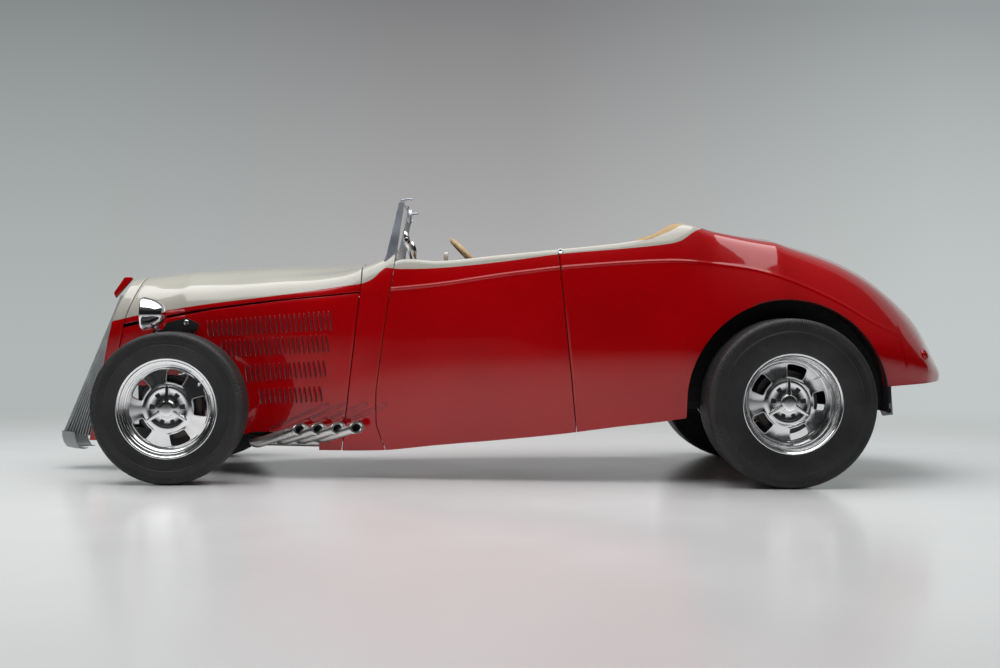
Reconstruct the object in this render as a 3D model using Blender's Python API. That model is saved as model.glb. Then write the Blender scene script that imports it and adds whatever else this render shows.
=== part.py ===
"""Street rod roadster: a fenderless two-seat open car on a channelled frame.

Units are metres, +Z is up, the nose points to -X and the left side faces -Y.
The origin is on the floor, at the middle of the car's length and width.
"""
import math

import bmesh
import bpy
from mathutils import Matrix, Vector

# Driving dimensions of the whole car
WHEELBASE = 2.845
FRONT_OVERHANG = 0.681
REAR_OVERHANG = 0.901
LENGTH = FRONT_OVERHANG + WHEELBASE + REAR_OVERHANG
FRONT_AXLE = -LENGTH / 2 + FRONT_OVERHANG
REAR_AXLE = FRONT_AXLE + WHEELBASE

# Wheels and tyres
FRONT_TYRE_RADIUS = 0.350
REAR_TYRE_RADIUS = 0.388
FRONT_TYRE_WIDTH = 0.200
REAR_TYRE_WIDTH = 0.276
FRONT_WIDTH = 1.496
REAR_WIDTH = 1.684
FLANGE_RADIUS = 0.2315
BEAD_RADIUS = 0.216
RIM_THICKNESS = 0.007
FRONT_DISH = 0.030
REAR_DISH = 0.105
HUB_BORE = 0.030
HUB_DEPTH = 0.060
SPOKE_THICKNESS = 0.016
WINDOW_COUNT = 5
WINDOW_RADII = (0.118, 0.179)
WINDOW_SHARE = 0.52
CAP_RADIUS = 0.036
EAR_LENGTH = 0.106
EAR_WIDTH = 0.016
WHEEL_SIDES = 30
FRONT_TRACK_HALF = (FRONT_WIDTH - FRONT_TYRE_WIDTH) / 2
REAR_TRACK_HALF = (REAR_WIDTH - REAR_TYRE_WIDTH) / 2

# Clearances
FIT = 0.0003
RUNNING = 0.0012
PANEL_GAP = 0.004
MOVING_GAP = 0.0065
SLIVER = 0.000001

# Body walls
SKIN = 0.010
HOOD_SKIN = 0.006
DOOR_WALL = 0.060
LIP = 0.005
LIP_REACH = 0.022
HOOD_RELIEF = 0.02
FLOOR_THICKNESS = 0.012

# Half sections of the body. "bay" is -1 at the nose, 0 at the front axle, 1 at the
# rear axle and 2 at the tail; the other columns are metres: heights of the lower
# edge, the rail and the crown, and half widths at the lower edge, side and rail.
SECTIONS = (
    # bay, z_low, y_low, y_side, z_rail, y_rail, z_crown
    (-0.734, 0.150, 0.120, 0.145, 0.712, 0.165, 0.935),
    (-0.308, 0.145, 0.215, 0.235, 0.770, 0.255, 0.968),
    (0.040, 0.139, 0.300, 0.322, 0.824, 0.330, 1.003),
    (0.151, 0.135, 0.370, 0.400, 0.862, 0.395, 1.022),
    (0.261, 0.133, 0.435, 0.472, 0.905, 0.458, 1.032),
    (0.338, 0.139, 0.482, 0.525, 1.000, 0.500, 1.050),
    (0.369, 0.148, 0.505, 0.550, 1.043, 0.520, 1.076),
    (0.435, 0.171, 0.540, 0.592, 1.037, 0.560, 1.080),
    (0.533, 0.199, 0.585, 0.635, 1.065, 0.600, 1.105),
    (0.632, 0.230, 0.620, 0.665, 1.094, 0.622, 1.135),
    (0.729, 0.268, 0.645, 0.680, 1.124, 0.630, 1.165),
    (0.795, 0.291, 0.655, 0.686, 1.156, 0.620, 1.194),
    (0.844, 0.312, 0.660, 0.687, 1.180, 0.585, 1.214),
    (0.893, 0.332, 0.664, 0.689, 1.135, 0.560, 1.210),
    (1.000, 0.380, 0.664, 0.690, 1.080, 0.545, 1.178),
    (1.336, 0.440, 0.636, 0.662, 0.975, 0.505, 1.091),
    (1.564, 0.457, 0.595, 0.615, 0.860, 0.465, 0.991),
    (1.791, 0.467, 0.480, 0.490, 0.700, 0.375, 0.826),
    (1.907, 0.471, 0.345, 0.352, 0.600, 0.265, 0.694),
    (1.964, 0.472, 0.235, 0.240, 0.535, 0.185, 0.583),
    (1.992, 0.472, 0.120, 0.122, 0.490, 0.095, 0.508),
)
SIDE_HEIGHT = 0.45
SHOULDER_WIDTH = 0.58
SHOULDER_RISE = 0.74

# Seams seen from the side, as (bay, height) points from top to bottom
GRILLE_EDGE = ((-0.40, 1.10), (-0.445, 0.960), (-0.558, 0.745), (-0.734, 0.203), (-0.80, 0.0))
SHELL_EDGE = ((-0.318, 1.10), (-0.358, 0.960), (-0.462, 0.745), (-0.620, 0.203), (-0.68, 0.0))
HOOD_SIDE_EDGE = ((-0.75, 0.672), (-0.308, 0.744), (0.040, 0.806), (0.151, 0.847), (0.304, 0.890))
HOOD_REAR = ((0.3037, 1.20), (0.3037, 0.940), (0.2714, 0.136), (0.265, 0.0))
DOOR_FRONT = ((0.362, 1.20), (0.359, 1.020), (0.3416, 0.697), (0.329, 0.411), (0.3293, 0.266),
              (0.3441, 0.143), (0.36, 0.0))
DOOR_REAR = ((0.6241, 1.20), (0.6281, 1.093), (0.6598, 0.241), (0.669, 0.0))
CHIN_TOP = 0.170
COCKPIT_END = 0.846
TRUNK_START = 0.862
FIREWALL = (0.315, 0.323)
WINDSHIELD_BAY = 0.3508
DASH_BOTTOM = 0.865
LID_FRONT = 0.935
LID_REAR = 1.640
TAIL_LAMP = (1.80, 1.3)
TAIL_END = 1.992

# Axle opening in the hood sides
AXLE_OPENING = (-0.37, 0.085)
AXLE_OPENING_TOP = 0.430
# Rows of louvres: X of the first and last behind the front axle, their count, and the heights of
# the lower and upper ends of the first and last
LOUVRE_ROWS = (
    (0.118, 0.715, 26, 0.670, 0.750, 0.704, 0.800),
    (0.187, 0.700, 23, 0.570, 0.655, 0.600, 0.689),
    (0.308, 0.687, 17, 0.452, 0.540, 0.485, 0.566),
    (0.376, 0.668, 13, 0.347, 0.425, 0.366, 0.442),
)
LOUVRE_WIDTH = 0.014
LOUVRE_DEPTH = 0.0035
LOUVRE_LEAN = 0.15
# Flutes above the pipes: X behind the front axle and height of the upper end, and the length
FLUTES = ((0.703, 0.350, 0.30), (0.787, 0.354, 0.17), (0.884, 0.357, 0.17), (0.981, 0.357, 0.17))
FLUTE_WIDTH = 0.020
FLUTE_DEPTH = 0.004
WELL_RADIUS = 0.471
WELL_INSET = 0.540

# Frame: bay, height and half width of the rails' centre line
RAIL_PATH = (
    # bay, z, y
    (-0.612, 0.165, 0.115),
    (0.000, 0.176, 0.165),
    (0.165, 0.202, 0.245),
    (0.350, 0.222, 0.360),
    (0.810, 0.360, 0.420),
    (0.915, 0.510, 0.420),
    (1.220, 0.510, 0.415),
    (1.560, 0.420, 0.390),
    (1.640, 0.410, 0.385),
)
RAIL_WIDTH = 0.045
RAIL_HEIGHT = 0.090

# Front suspension and steering
KINGPIN_HALF = 0.520
KINGPIN_RADIUS = 0.010
BOSS_RADIUS = 0.022
BOSS_HALF = 0.036
BEAM_RADIUS = 0.026
BUSH_HALF = 0.013
BUSH_RADIUS = 0.020
BEAM_DROP = 0.045
ARM_REACH = 0.130
ARM_INSET = 0.0
ARM_DROP = 0.010
ROD_RADIUS = 0.011
SPINDLE_RADIUS = 0.024
DRUM_RADIUS = 0.150
DRUM_WIDTH = 0.055
SHAFT_HEIGHT = 0.345
ENGINE_HALF = 0.200
PIPE_RADIUS = 0.021
PIPE_MOUTH_HEIGHT = 0.238
PIPE_SLOPE = math.tan(math.radians(19))
TOWER_BAY = 0.0193
LAMP_AHEAD = 0.135
LAMP_HALF = 0.420
LAMP_HEIGHT = 0.780
LAMP_FOOT = 0.7045
TOWER_TOP = 0.722
COIL_RADIUS = 0.030
COIL_HALF = 0.400
COLUMN_RADIUS = 0.017
STEERING_BAY = 0.498
STEERING_SIDE = 0.31
STEERING_HEIGHT = 1.020
STEERING_RAKE = 45
STEERING_RADIUS = 0.175
HEADER_BACK = 0.048
HEADER_HEIGHT = 1.327
HEADER_RADIUS = 0.012

# Colours as (red, green, blue, roughness, metallic)
FINISHES = {
    'red_paint': (0.46, 0.008, 0.018, 0.12, 0.0),
    'cream_paint': (0.78, 0.74, 0.62, 0.16, 0.0),
    'polished': (0.80, 0.80, 0.80, 0.14, 1.0),
    'chrome': (0.86, 0.86, 0.87, 0.06, 1.0),
    'rubber': (0.018, 0.018, 0.019, 0.72, 0.0),
    'black': (0.012, 0.012, 0.013, 0.35, 0.0),
    'tan': (0.46, 0.27, 0.13, 0.55, 0.0),
    'cast': (0.24, 0.24, 0.25, 0.45, 0.8),
    'glass': (0.75, 0.82, 0.82, 0.03, 0.0),
    'lamp_red': (0.40, 0.01, 0.01, 0.10, 0.0),
    'wood': (0.40, 0.20, 0.08, 0.30, 0.0),
}


def along(bay):
    """World X of a place given by its bay number."""
    if bay < 0:
        return FRONT_AXLE + bay * FRONT_OVERHANG
    if bay > 1:
        return REAR_AXLE + (bay - 1) * REAR_OVERHANG
    return FRONT_AXLE + bay * WHEELBASE


def side_line(points):
    """World (x, z) points of a seam given as (bay, height)."""
    return [(along(bay), height) for bay, height in points]


def shifted(line, distance):
    """The same side-view line moved along X."""
    return [(x + distance, z) for x, z in line]


# Mesh helpers


def clear_scene():
    for item in list(bpy.data.objects):
        bpy.data.objects.remove(item, do_unlink=True)


def finish(name):
    """The named finish as a material, made once."""
    found = bpy.data.materials.get(name)
    if found:
        return found
    red, green, blue, roughness, metallic = FINISHES[name]
    made = bpy.data.materials.new(name)
    made.use_nodes = True
    shader = made.node_tree.nodes['Principled BSDF']
    shader.inputs['Base Color'].default_value = (red, green, blue, 1)
    shader.inputs['Roughness'].default_value = roughness
    shader.inputs['Metallic'].default_value = metallic
    made.diffuse_color = (red, green, blue, 1)
    return made


def from_bmesh(name, shape):
    """An object from a bmesh whose faces are turned outward."""
    bmesh.ops.recalc_face_normals(shape, faces=shape.faces)
    bmesh.ops.triangulate(shape, faces=shape.faces)
    mesh = bpy.data.meshes.new(name)
    shape.to_mesh(mesh)
    shape.free()
    made = bpy.data.objects.new(name, mesh)
    bpy.context.collection.objects.link(made)
    return made


def loft(rings, name='loft', closed=False):
    """A solid through rings of equal point counts, capped at both ends unless closed."""
    shape = bmesh.new()
    rows = [[shape.verts.new(point) for point in ring] for ring in rings]
    count = len(rows[0])
    pairs = list(zip(rows, rows[1:]))
    if closed:
        pairs.append((rows[-1], rows[0]))
    for one, two in pairs:
        for k in range(count):
            after = (k + 1) % count
            shape.faces.new((one[k], one[after], two[after], two[k]))
    if not closed:
        shape.faces.new(rows[0])
        shape.faces.new(rows[-1][::-1])
    return from_bmesh(name, shape)


def prism(points, low, high, axis='Y'):
    """A flat outline pushed from low to high along the axis it leaves out."""
    place = {'X': lambda a, b, c: (c, a, b), 'Y': lambda a, b, c: (a, c, b),
             'Z': lambda a, b, c: (a, b, c)}[axis]
    return loft([[place(a, b, c) for a, b in points] for c in (low, high)], 'prism')


def box(x0, x1, y0, y1, z0, z1):
    return prism([(x0, y0), (x1, y0), (x1, y1), (x0, y1)], z0, z1, 'Z')


def circle_points(centre, radius, count, normal, start=0.0):
    """Points of a circle square to the given normal."""
    turn = Vector(normal).normalized().to_track_quat('Z', 'Y').to_matrix()
    steps = [start + 2 * math.pi * k / count for k in range(count)]
    return [Vector(centre) + turn @ Vector((radius * math.cos(a), radius * math.sin(a), 0)) for a in steps]


def rod(start, end, radius, count=12, end_radius=None):
    """A round bar between two points."""
    normal = Vector(end) - Vector(start)
    far = radius if end_radius is None else end_radius
    return loft([circle_points(start, radius, count, normal), circle_points(end, far, count, normal)], 'rod')


def bent_tube(path, radius, count=12, bore=0.0, depth=0.0):
    """A round bar along a path; a bore goes in from its last end to the given depth."""
    points = [Vector(p) for p in path]
    rings = []
    for k, point in enumerate(points):
        before = points[max(k - 1, 0)]
        after = points[min(k + 1, len(points) - 1)]
        rings.append(circle_points(point, radius, count, after - before))
    if bore:
        heading = (points[-1] - points[-2]).normalized()
        rings.append(circle_points(points[-1], bore, count, heading))
        rings.append(circle_points(points[-1] - heading * depth, bore, count, heading))
    return loft(rings, 'tube')


def lathe(profile, centre, axis, count=32):
    """A closed profile of (along, radius) points turned round an axis."""
    normal = Vector(axis).normalized()
    turn = normal.to_track_quat('Z', 'Y').to_matrix()
    rings = []
    for k in range(count):
        angle = 2 * math.pi * k / count
        out = turn @ Vector((math.cos(angle), math.sin(angle), 0))
        rings.append([Vector(centre) + normal * a + out * r for a, r in profile])
    return loft(rings, 'lathe', closed=True)


def spun(profile, centre, axis, count=32, openings=()):
    """A solid from an open (along, radius) line that starts and ends on the axis.

    Each opening goes right through between two pairs of rows, (front row, back row, first
    segment, segments); the rows are the numbers of the line's points.
    """
    normal = Vector(axis).normalized()
    turn = normal.to_track_quat('Z', 'Y').to_matrix()
    shape = bmesh.new()
    rows = []
    for a, r in profile:
        if r == 0:
            rows.append([shape.verts.new(Vector(centre) + normal * a)])
            continue
        row = []
        for k in range(count):
            angle = 2 * math.pi * k / count
            out = turn @ Vector((math.cos(angle), math.sin(angle), 0))
            row.append(shape.verts.new(Vector(centre) + normal * a + out * r))
        rows.append(row)
    opened = {(row, (start + k) % count) for front, back, start, length in openings
              for row in (front, back) for k in range(length)}
    for n, (one, two) in enumerate(zip(rows, rows[1:])):
        for k in range(count):
            if (n, k) in opened:
                continue
            after = (k + 1) % count
            corners = [one[k % len(one)], one[after % len(one)], two[after % len(two)], two[k % len(two)]]
            shape.faces.new(list(dict.fromkeys(corners)))
    for front, back, start, length in openings:
        near, far = rows[front], rows[front + 1]
        near_back, far_back = rows[back + 1], rows[back]
        for k in range(length):
            one = (start + k) % count
            two = (one + 1) % count
            shape.faces.new((near[one], near[two], near_back[two], near_back[one]))
            shape.faces.new((far[two], far[one], far_back[one], far_back[two]))
        for end in (start % count, (start + length) % count):
            shape.faces.new((near[end], far[end], far_back[end], near_back[end]))
    return from_bmesh('spun', shape)


def turned(profile, centre, axis, count=32):
    """A solid of revolution from (along, radius) points, pointed or capped at its ends."""
    rings = [circle_points(Vector(centre) + Vector(axis).normalized() * a, r, count, axis) for a, r in profile]
    return loft(rings, 'turned')


def bake(body):
    """Fix the modifiers' result as the object's own mesh, without slivers."""
    graph = bpy.context.evaluated_depsgraph_get()
    result = bpy.data.meshes.new_from_object(body.evaluated_get(graph))
    body.modifiers.clear()
    shape = bmesh.new()
    shape.from_mesh(result)
    bmesh.ops.remove_doubles(shape, verts=shape.verts, dist=SLIVER)
    bmesh.ops.dissolve_degenerate(shape, edges=shape.edges, dist=SLIVER)
    bmesh.ops.triangulate(shape, faces=shape.faces)
    shape.to_mesh(result)
    shape.free()
    body.data = result


def combine(body, others, operation, solver='EXACT'):
    for other in others:
        step = body.modifiers.new('combine', 'BOOLEAN')
        step.operation = operation
        step.solver = solver
        step.object = other
    bake(body)
    for other in others:
        bpy.data.objects.remove(other, do_unlink=True)
    return body


def grouped(pieces):
    """Cutters that don't touch, as one object."""
    shape = bmesh.new()
    for piece in pieces:
        shape.from_mesh(piece.data)
        bpy.data.objects.remove(piece, do_unlink=True)
    return from_bmesh('grouped', shape)


def fuse(body, *others):
    return combine(body, others, 'UNION')


def cut(body, *others):
    return combine(body, others, 'DIFFERENCE')


def weld(body, *others):
    """A union of round bars that run into one another at shallow angles."""
    return combine(body, others, 'UNION', 'MANIFOLD')


def carve(body, *others):
    """A cut between closed skins that run close beside each other."""
    return combine(body, others, 'DIFFERENCE', 'MANIFOLD')


def keep(body, *others):
    return combine(body, others, 'INTERSECT')


def mirrored(body):
    """A copy reflected to the car's other side."""
    shape = bmesh.new()
    shape.from_mesh(body.data)
    bmesh.ops.transform(shape, matrix=Matrix.Scale(-1, 4, (0, 1, 0)), verts=shape.verts)
    return from_bmesh('mirrored', shape)


def node(body, name, material, origin=None):
    """Give a finished solid its name, finish and origin."""
    shape = bmesh.new()
    shape.from_mesh(body.data)
    bmesh.ops.dissolve_limit(shape, angle_limit=math.radians(0.3), verts=shape.verts, edges=shape.edges)
    shape.to_mesh(body.data)
    shape.free()
    body.name = name
    body.data.name = name
    body.data.materials.clear()
    body.data.materials.append(finish(material))
    for face in body.data.polygons:
        face.material_index = 0
    if origin is not None:
        body.data.transform(Matrix.Translation(-Vector(origin)))
        body.location = origin
    body.data.shade_smooth()
    body.data.set_sharp_from_angle(angle=math.radians(32))
    return body


# The body's surface


def blend_row(position, column):
    """A column of SECTIONS at a bay number, by a smooth curve through the rows."""
    rows = SECTIONS
    last = len(rows) - 2
    k = 0
    while k < last and position > rows[k + 1][0]:
        k += 1

    def slope(n):
        low = max(n - 1, 0)
        high = min(n + 1, len(rows) - 1)
        return (rows[high][column] - rows[low][column]) / (rows[high][0] - rows[low][0])

    span = rows[k + 1][0] - rows[k][0]
    t = min(max((position - rows[k][0]) / span, 0), 1)
    a = rows[k][column]
    b = rows[k + 1][column]
    da = slope(k) * span
    db = slope(k + 1) * span
    return (a + t * da + t * t * (3 * (b - a) - 2 * da - db)
            + t * t * t * (2 * (a - b) + da + db))


def half_section(bay):
    """Named heights and half widths of the body at a bay number."""
    z_low, y_low, y_side, z_rail, y_rail, z_crown = (blend_row(bay, c) for c in range(1, 7))
    z_side = z_low + SIDE_HEIGHT * (z_rail - z_low)
    return ((y_low, z_low), (y_side, z_side), (y_rail, z_rail),
            (y_rail * SHOULDER_WIDTH, z_rail + SHOULDER_RISE * (z_crown - z_rail)), (0.0, z_crown))


def section_point(bay, v):
    """(y, z) on the section: v is 0 at the left lower edge, 2 at the rail, 4 at the crown."""
    knots = half_section(bay)
    side = -1
    if v > 4:
        v = 8 - v
        side = 1
    k = min(int(v), 3)
    t = v - k

    def knot(n):
        if n < 0:
            (ya, za), (yb, zb) = knots[0], knots[1]
            return (2 * ya - yb, 2 * za - zb)
        if n > 4:
            y, z = knots[3]
            return (-y, z)
        return knots[n]

    p = [knot(k + d) for d in (-1, 0, 1, 2)]
    mix = (-0.5 * t + t * t - 0.5 * t ** 3, 1 - 2.5 * t * t + 1.5 * t ** 3,
           0.5 * t + 2 * t * t - 1.5 * t ** 3, -0.5 * t * t + 0.5 * t ** 3)
    y = sum(w * q[0] for w, q in zip(mix, p))
    z = sum(w * q[1] for w, q in zip(mix, p))
    return (side * y, z)


def inset_point(bay, v, depth):
    """The section point moved inward, square to the section's line."""
    step = 0.02
    y0, z0 = section_point(bay, max(v - step, 0))
    y1, z1 = section_point(bay, min(v + step, 8))
    length = math.hypot(y1 - y0, z1 - z0)
    y, z = section_point(bay, v)
    return (y + depth * (z1 - z0) / length, z - depth * (y1 - y0) / length)


def bays(first, last):
    """Stations that cover a stretch, the same ones for every panel, so that skins nest."""
    every = [-1.0] + [row[0] for row in SECTIONS]
    every = sorted(every + [(a + b) / 2 for a, b in zip(every, every[1:]) if b - a > 0.09])
    low = max([n for n, bay in enumerate(every) if bay < first], default=0)
    high = min([n for n, bay in enumerate(every) if bay > last], default=len(every) - 1)
    return every[low:high + 1]


SIDE_STEPS = (0, 0.5, 1.0, 1.5, 2.0)
TOP_STEPS = (2.0, 2.4, 2.85, 3.4, 4.0)
ROUND_STEPS = SIDE_STEPS + TOP_STEPS[1:] + tuple(8 - v for v in (SIDE_STEPS + TOP_STEPS[1:])[-2::-1])


def drop_on(body, x, y):
    """Height of a finished piece's upper surface under a point."""
    hit, place, _, _ = body.ray_cast(Vector((x, y, 3)) - body.location, Vector((0, 0, -1)))
    return place.z + body.location.z if hit else 0.0


def line_x(points, height):
    """X of a seam given as (bay, height) at one height."""
    for (bay_a, z_a), (bay_b, z_b) in zip(points, points[1:]):
        if z_a >= height >= z_b:
            return along(bay_a + (bay_b - bay_a) * (z_a - height) / (z_a - z_b))
    return along(points[-1][0])


def shell(stations, steps, outer=0.0, inner=SKIN):
    """A curved sheet of the body's surface between two depths below it."""
    rings = []
    for bay in stations:
        x = along(bay)
        out = [(x, *inset_point(bay, v, outer)) for v in steps]
        back = [(x, *inset_point(bay, v, inner)) for v in reversed(steps)]
        rings.append(out + back)
    return loft(rings, 'shell')


def wall(stations, steps, thickness, taper=0.0):
    """A thick side wall of the left side, its inner face moved straight inward."""
    rings = []
    for bay in stations:
        x = along(bay)
        out = [(x, *section_point(bay, v)) for v in steps]
        back = [(x, y + thickness, z) for _, y, z in reversed(out)]
        rings.append(out + back)
    return loft(rings, 'wall')


def core(stations, inset, low_drop=0.0, open_top=None):
    """The body's section as a solid, smaller by the inset, its underside lowered.

    With open_top it has straight sides above the rail, up to that height.
    """
    rings = []
    for bay in stations:
        x = along(bay)
        steps = ROUND_STEPS if open_top is None else SIDE_STEPS
        ring = [(x, *inset_point(bay, v, inset)) for v in steps]
        if low_drop:
            _, y, z = ring[0]
            ring = [(x, y, z - low_drop)] + ring
        if open_top is None:
            if low_drop:
                ring.append((x, -y, z - low_drop))
        else:
            ring.append((x, ring[-1][1], open_top))
            ring += [(x, -y, z) for x, y, z in reversed(ring)]
        rings.append(ring)
    return loft(rings, 'core')


def region(front, rear, top=None, bottom=None):
    """A side-view region across the whole width, between a front and a rear seam line."""
    outline = list(front) + list(reversed(rear))
    return prism(outline, -1.0, 1.0)


def left_only(inner=-0.05):
    return box(-3, 3, -1.2, inner, -0.2, 2)


# Wheels and tyres


def wheel_places():
    """(name, x, half track, radius, width, dish, side) of the four wheels."""
    front = (FRONT_AXLE, FRONT_TRACK_HALF, FRONT_TYRE_RADIUS, FRONT_TYRE_WIDTH, FRONT_DISH)
    rear = (REAR_AXLE, REAR_TRACK_HALF, REAR_TYRE_RADIUS, REAR_TYRE_WIDTH, REAR_DISH)
    for end, sizes in (('front', front), ('rear', rear)):
        for hand, side in (('left', -1), ('right', 1)):
            yield f'{end}_{hand}', sizes, side


def rim_half(width):
    return width / 2 - 0.011


def build_tyre(name, sizes, side):
    x, track, radius, width, _ = sizes
    bead = rim_half(width) - RIM_THICKNESS - FIT
    half = width / 2
    profile = [(-bead, BEAD_RADIUS + FIT), (bead, BEAD_RADIUS + FIT), (bead, FLANGE_RADIUS + 0.004),
               (half, (FLANGE_RADIUS + radius) / 2), (half - 0.008, radius - 0.030), (half - 0.034, radius)]
    profile += [(-a, r) for a, r in profile[:1:-1]]
    tyre = lathe(profile, (x, side * track, radius), (0, side, 0), WHEEL_SIDES)
    return node(tyre, f'tyre_{name}', 'rubber', (x, side * track, radius))


def build_wheel(name, sizes, side):
    x, track, radius, width, dish = sizes
    half = rim_half(width)
    face = half - dish
    centre = Vector((x, side * track, radius))
    axis = (0, side, 0)
    thin = RIM_THICKNESS
    boss = HUB_BORE + 0.016
    low, high = WINDOW_RADII
    back = face - SPOKE_THICKNESS
    line = [(face + 0.028, 0), (face + 0.022, CAP_RADIUS), (face, boss), (face, 0.078), (face + 0.010, 0.094),
            (face - 0.001, low), (face - 0.004, high),
            (half - 0.012, BEAD_RADIUS - thin), (half, FLANGE_RADIUS - thin), (half, FLANGE_RADIUS),
            (half - thin, FLANGE_RADIUS), (half - thin, BEAD_RADIUS), (-half + thin, BEAD_RADIUS),
            (-half + thin, FLANGE_RADIUS), (-half, BEAD_RADIUS - thin),
            (back - 0.014, BEAD_RADIUS - thin), (back, high), (back, low), (back, boss),
            (face - HUB_DEPTH, boss), (face - HUB_DEPTH, 0)]
    front_row = line.index((face - 0.001, low))
    back_row = line.index((back, high))
    pitch = WHEEL_SIDES // WINDOW_COUNT
    wide = round(pitch * WINDOW_SHARE)
    openings = [(front_row, back_row, pitch * k, wide) for k in range(WINDOW_COUNT)]
    wheel = spun(line, centre, axis, WHEEL_SIDES, openings)
    parts = []
    for angle in (90, 212, 328):
        a = math.radians(angle)
        out = Vector((-side * math.cos(a), 0, math.sin(a)))
        across = Vector((-side * math.sin(a), 0, -math.cos(a))) * (EAR_WIDTH / 2)
        up = Vector((0, side, 0))
        rings = []
        for reach, low, high, share in ((0.010, 0.004, 0.022, 1.2), (EAR_LENGTH, 0.0145, 0.024, 0.8)):
            middle = centre + out * reach
            rings.append([middle + across * (s * share) + up * (face + h)
                          for s, h in ((-1, low), (1, low), (1, high), (-1, high))])
        parts.append(loft(rings, 'ear'))
    wheel = fuse(wheel, *parts)
    return node(wheel, f'wheel_{name}', 'polished', centre)


# Body panels


def build_grille_shell():
    body = shell(bays(-0.90, -0.30), ROUND_STEPS, 0, SKIN * 1.6)
    lip = shell(bays(-0.72, -0.28), ROUND_STEPS, HOOD_SKIN + FIT, SKIN + LIP)
    front = side_line(GRILLE_EDGE)
    rear = side_line(SHELL_EDGE)
    body = keep(body, region(front, shifted(rear, -PANEL_GAP / 2)))
    lip = keep(lip, region(shifted(rear, -LIP_REACH), shifted(rear, LIP_REACH)))
    lip = cut(lip, box(-3, 3, -1, 1, 0, AXLE_OPENING_TOP + 0.02))
    chin = box(along(-0.735), along(RAIL_PATH[0][0]) - FIT, -0.126, 0.126, 0.152, CHIN_TOP)
    body = fuse(body, lip)
    return node(fuse(body, chin), 'grille_shell', 'red_paint')


def grille_half(share):
    """Half width of the grille at a share of its height."""
    return 0.110 + 0.055 * share if share < 0.8 else 0.154 - 0.20 * (share - 0.8)


def build_grille_insert():
    """The raked, pointed grille: two slatted faces that meet on the centre line."""
    top = 0.872
    bottom = CHIN_TOP + FIT
    depth = 0.014
    rings = []
    for share in (0.0, 0.4, 0.8, 1.0):
        z = bottom + share * (top - bottom)
        shell_x = along(-0.712 + share * 0.232)
        tip = along(-0.992 + share * 0.428)
        half = grille_half(share)
        rings.append([(shell_x, -half, z), (tip, 0, z), (shell_x, half, z),
                      (shell_x + depth, half, z), (tip + depth * 1.6, 0, z), (shell_x + depth, -half, z)])
    face = loft(rings, 'face')
    slots = []
    for row in range(16):
        share = (row + 0.7) / 16.4
        z = bottom + share * (top - bottom)
        reach = grille_half(share) - 0.014
        for low, high in ((-reach, -0.012), (0.012, reach)):
            slots.append(box(along(-1.05), along(-0.30), low, high, z - 0.012, z + 0.012))
    return node(cut(face, grouped(slots)), 'grille_insert', 'polished')


def build_hood_top():
    body = shell(bays(-0.52, 0.31), ROUND_STEPS[2:-2], 0, HOOD_SKIN)
    front = [(x + MOVING_GAP + max(0.0, 0.96 - z) * HOOD_RELIEF, z) for x, z in side_line(SHELL_EDGE)]
    rear = shifted(side_line(HOOD_REAR), -MOVING_GAP)
    body = keep(body, region(front, rear))
    seam = side_line(HOOD_SIDE_EDGE)
    below = [(x, z + MOVING_GAP / 2) for x, z in seam] + [(seam[-1][0] + 0.3, seam[-1][1] + 0.1),
                                                          (seam[-1][0] + 0.3, 0), (seam[0][0] - 0.2, 0)]
    body = cut(body, prism(below, -1, 1))
    return node(body, 'hood_top', 'cream_paint', hood_axis())


def hood_axis():
    """The hood opens from the front, about its rear edge at the crown."""
    return (along(HOOD_REAR[0][0]) - MOVING_GAP / 2, 0, section_point(HOOD_REAR[0][0], 4)[1])


def build_hood_sides():
    body = shell(bays(-0.66, 0.31), SIDE_STEPS + (2.4,), 0, HOOD_SKIN)
    front = shifted(side_line(SHELL_EDGE), PANEL_GAP / 2)
    rear = shifted(side_line(HOOD_REAR), -PANEL_GAP)
    body = keep(body, region(front, rear))
    seam = side_line(HOOD_SIDE_EDGE)
    above = [(x, z - MOVING_GAP / 2) for x, z in seam] + [(seam[-1][0] + 0.1, 1.3), (seam[0][0] - 0.1, 1.3)]
    x0, x1 = (along(b) for b in AXLE_OPENING)
    top = AXLE_OPENING_TOP
    round_off = 0.10
    arch = [(x0 - 0.5, 0), (x0 - 0.5, top - 0.06), (x0, top), (x1 - round_off, top), (x1 - 0.03, top - 0.04),
            (x1, top - round_off), (x1 + 0.03, 0)]
    body = cut(body, prism(above, -1, 1), prism(arch, -1, 1), rod((along(TOWER_BAY), -1, TOWER_TOP),
               (along(TOWER_BAY), 1, TOWER_TOP), 0.028, 12), exhaust_opening())
    body = cut(body, grouped(louvre_cutters()))
    body = cut(body, *flute_cutters())
    node(mirrored(body), 'hood_side_right', 'red_paint')
    return node(body, 'hood_side_left', 'red_paint')


def side_y(x, z):
    """Y of the left side's outer skin at a world X and a height."""
    bay = (x - FRONT_AXLE) / WHEELBASE if x > FRONT_AXLE else (x - FRONT_AXLE) / FRONT_OVERHANG
    low, high = 0.0, 2.4
    for _ in range(24):
        middle = (low + high) / 2
        if section_point(bay, middle)[1] < z:
            low = middle
        else:
            high = middle
    return section_point(bay, low)[0]


def groove_cutter(start, end, width, depth, taper):
    """A wedge that presses a groove into the left side between two (x, z) places."""
    (x0, z0), (x1, z1) = start, end
    length = math.hypot(x1 - x0, z1 - z0)
    dx, dz = (x1 - x0) / length, (z1 - z0) / length
    half = width / 2
    above = 0.002
    wide = half * (1 + above / depth)
    rings = []
    for (x, z), inward in ((start, taper), (end, -taper)):
        y = side_y(x, z)
        rings.append([(x - dz * wide, side_y(x - dz * wide, z + dx * wide) - above, z + dx * wide),
                      (x + dz * wide, side_y(x + dz * wide, z - dx * wide) - above, z - dx * wide),
                      (x + dx * inward, y + depth, z + dz * inward)])
    return loft(rings, 'groove')


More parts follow.
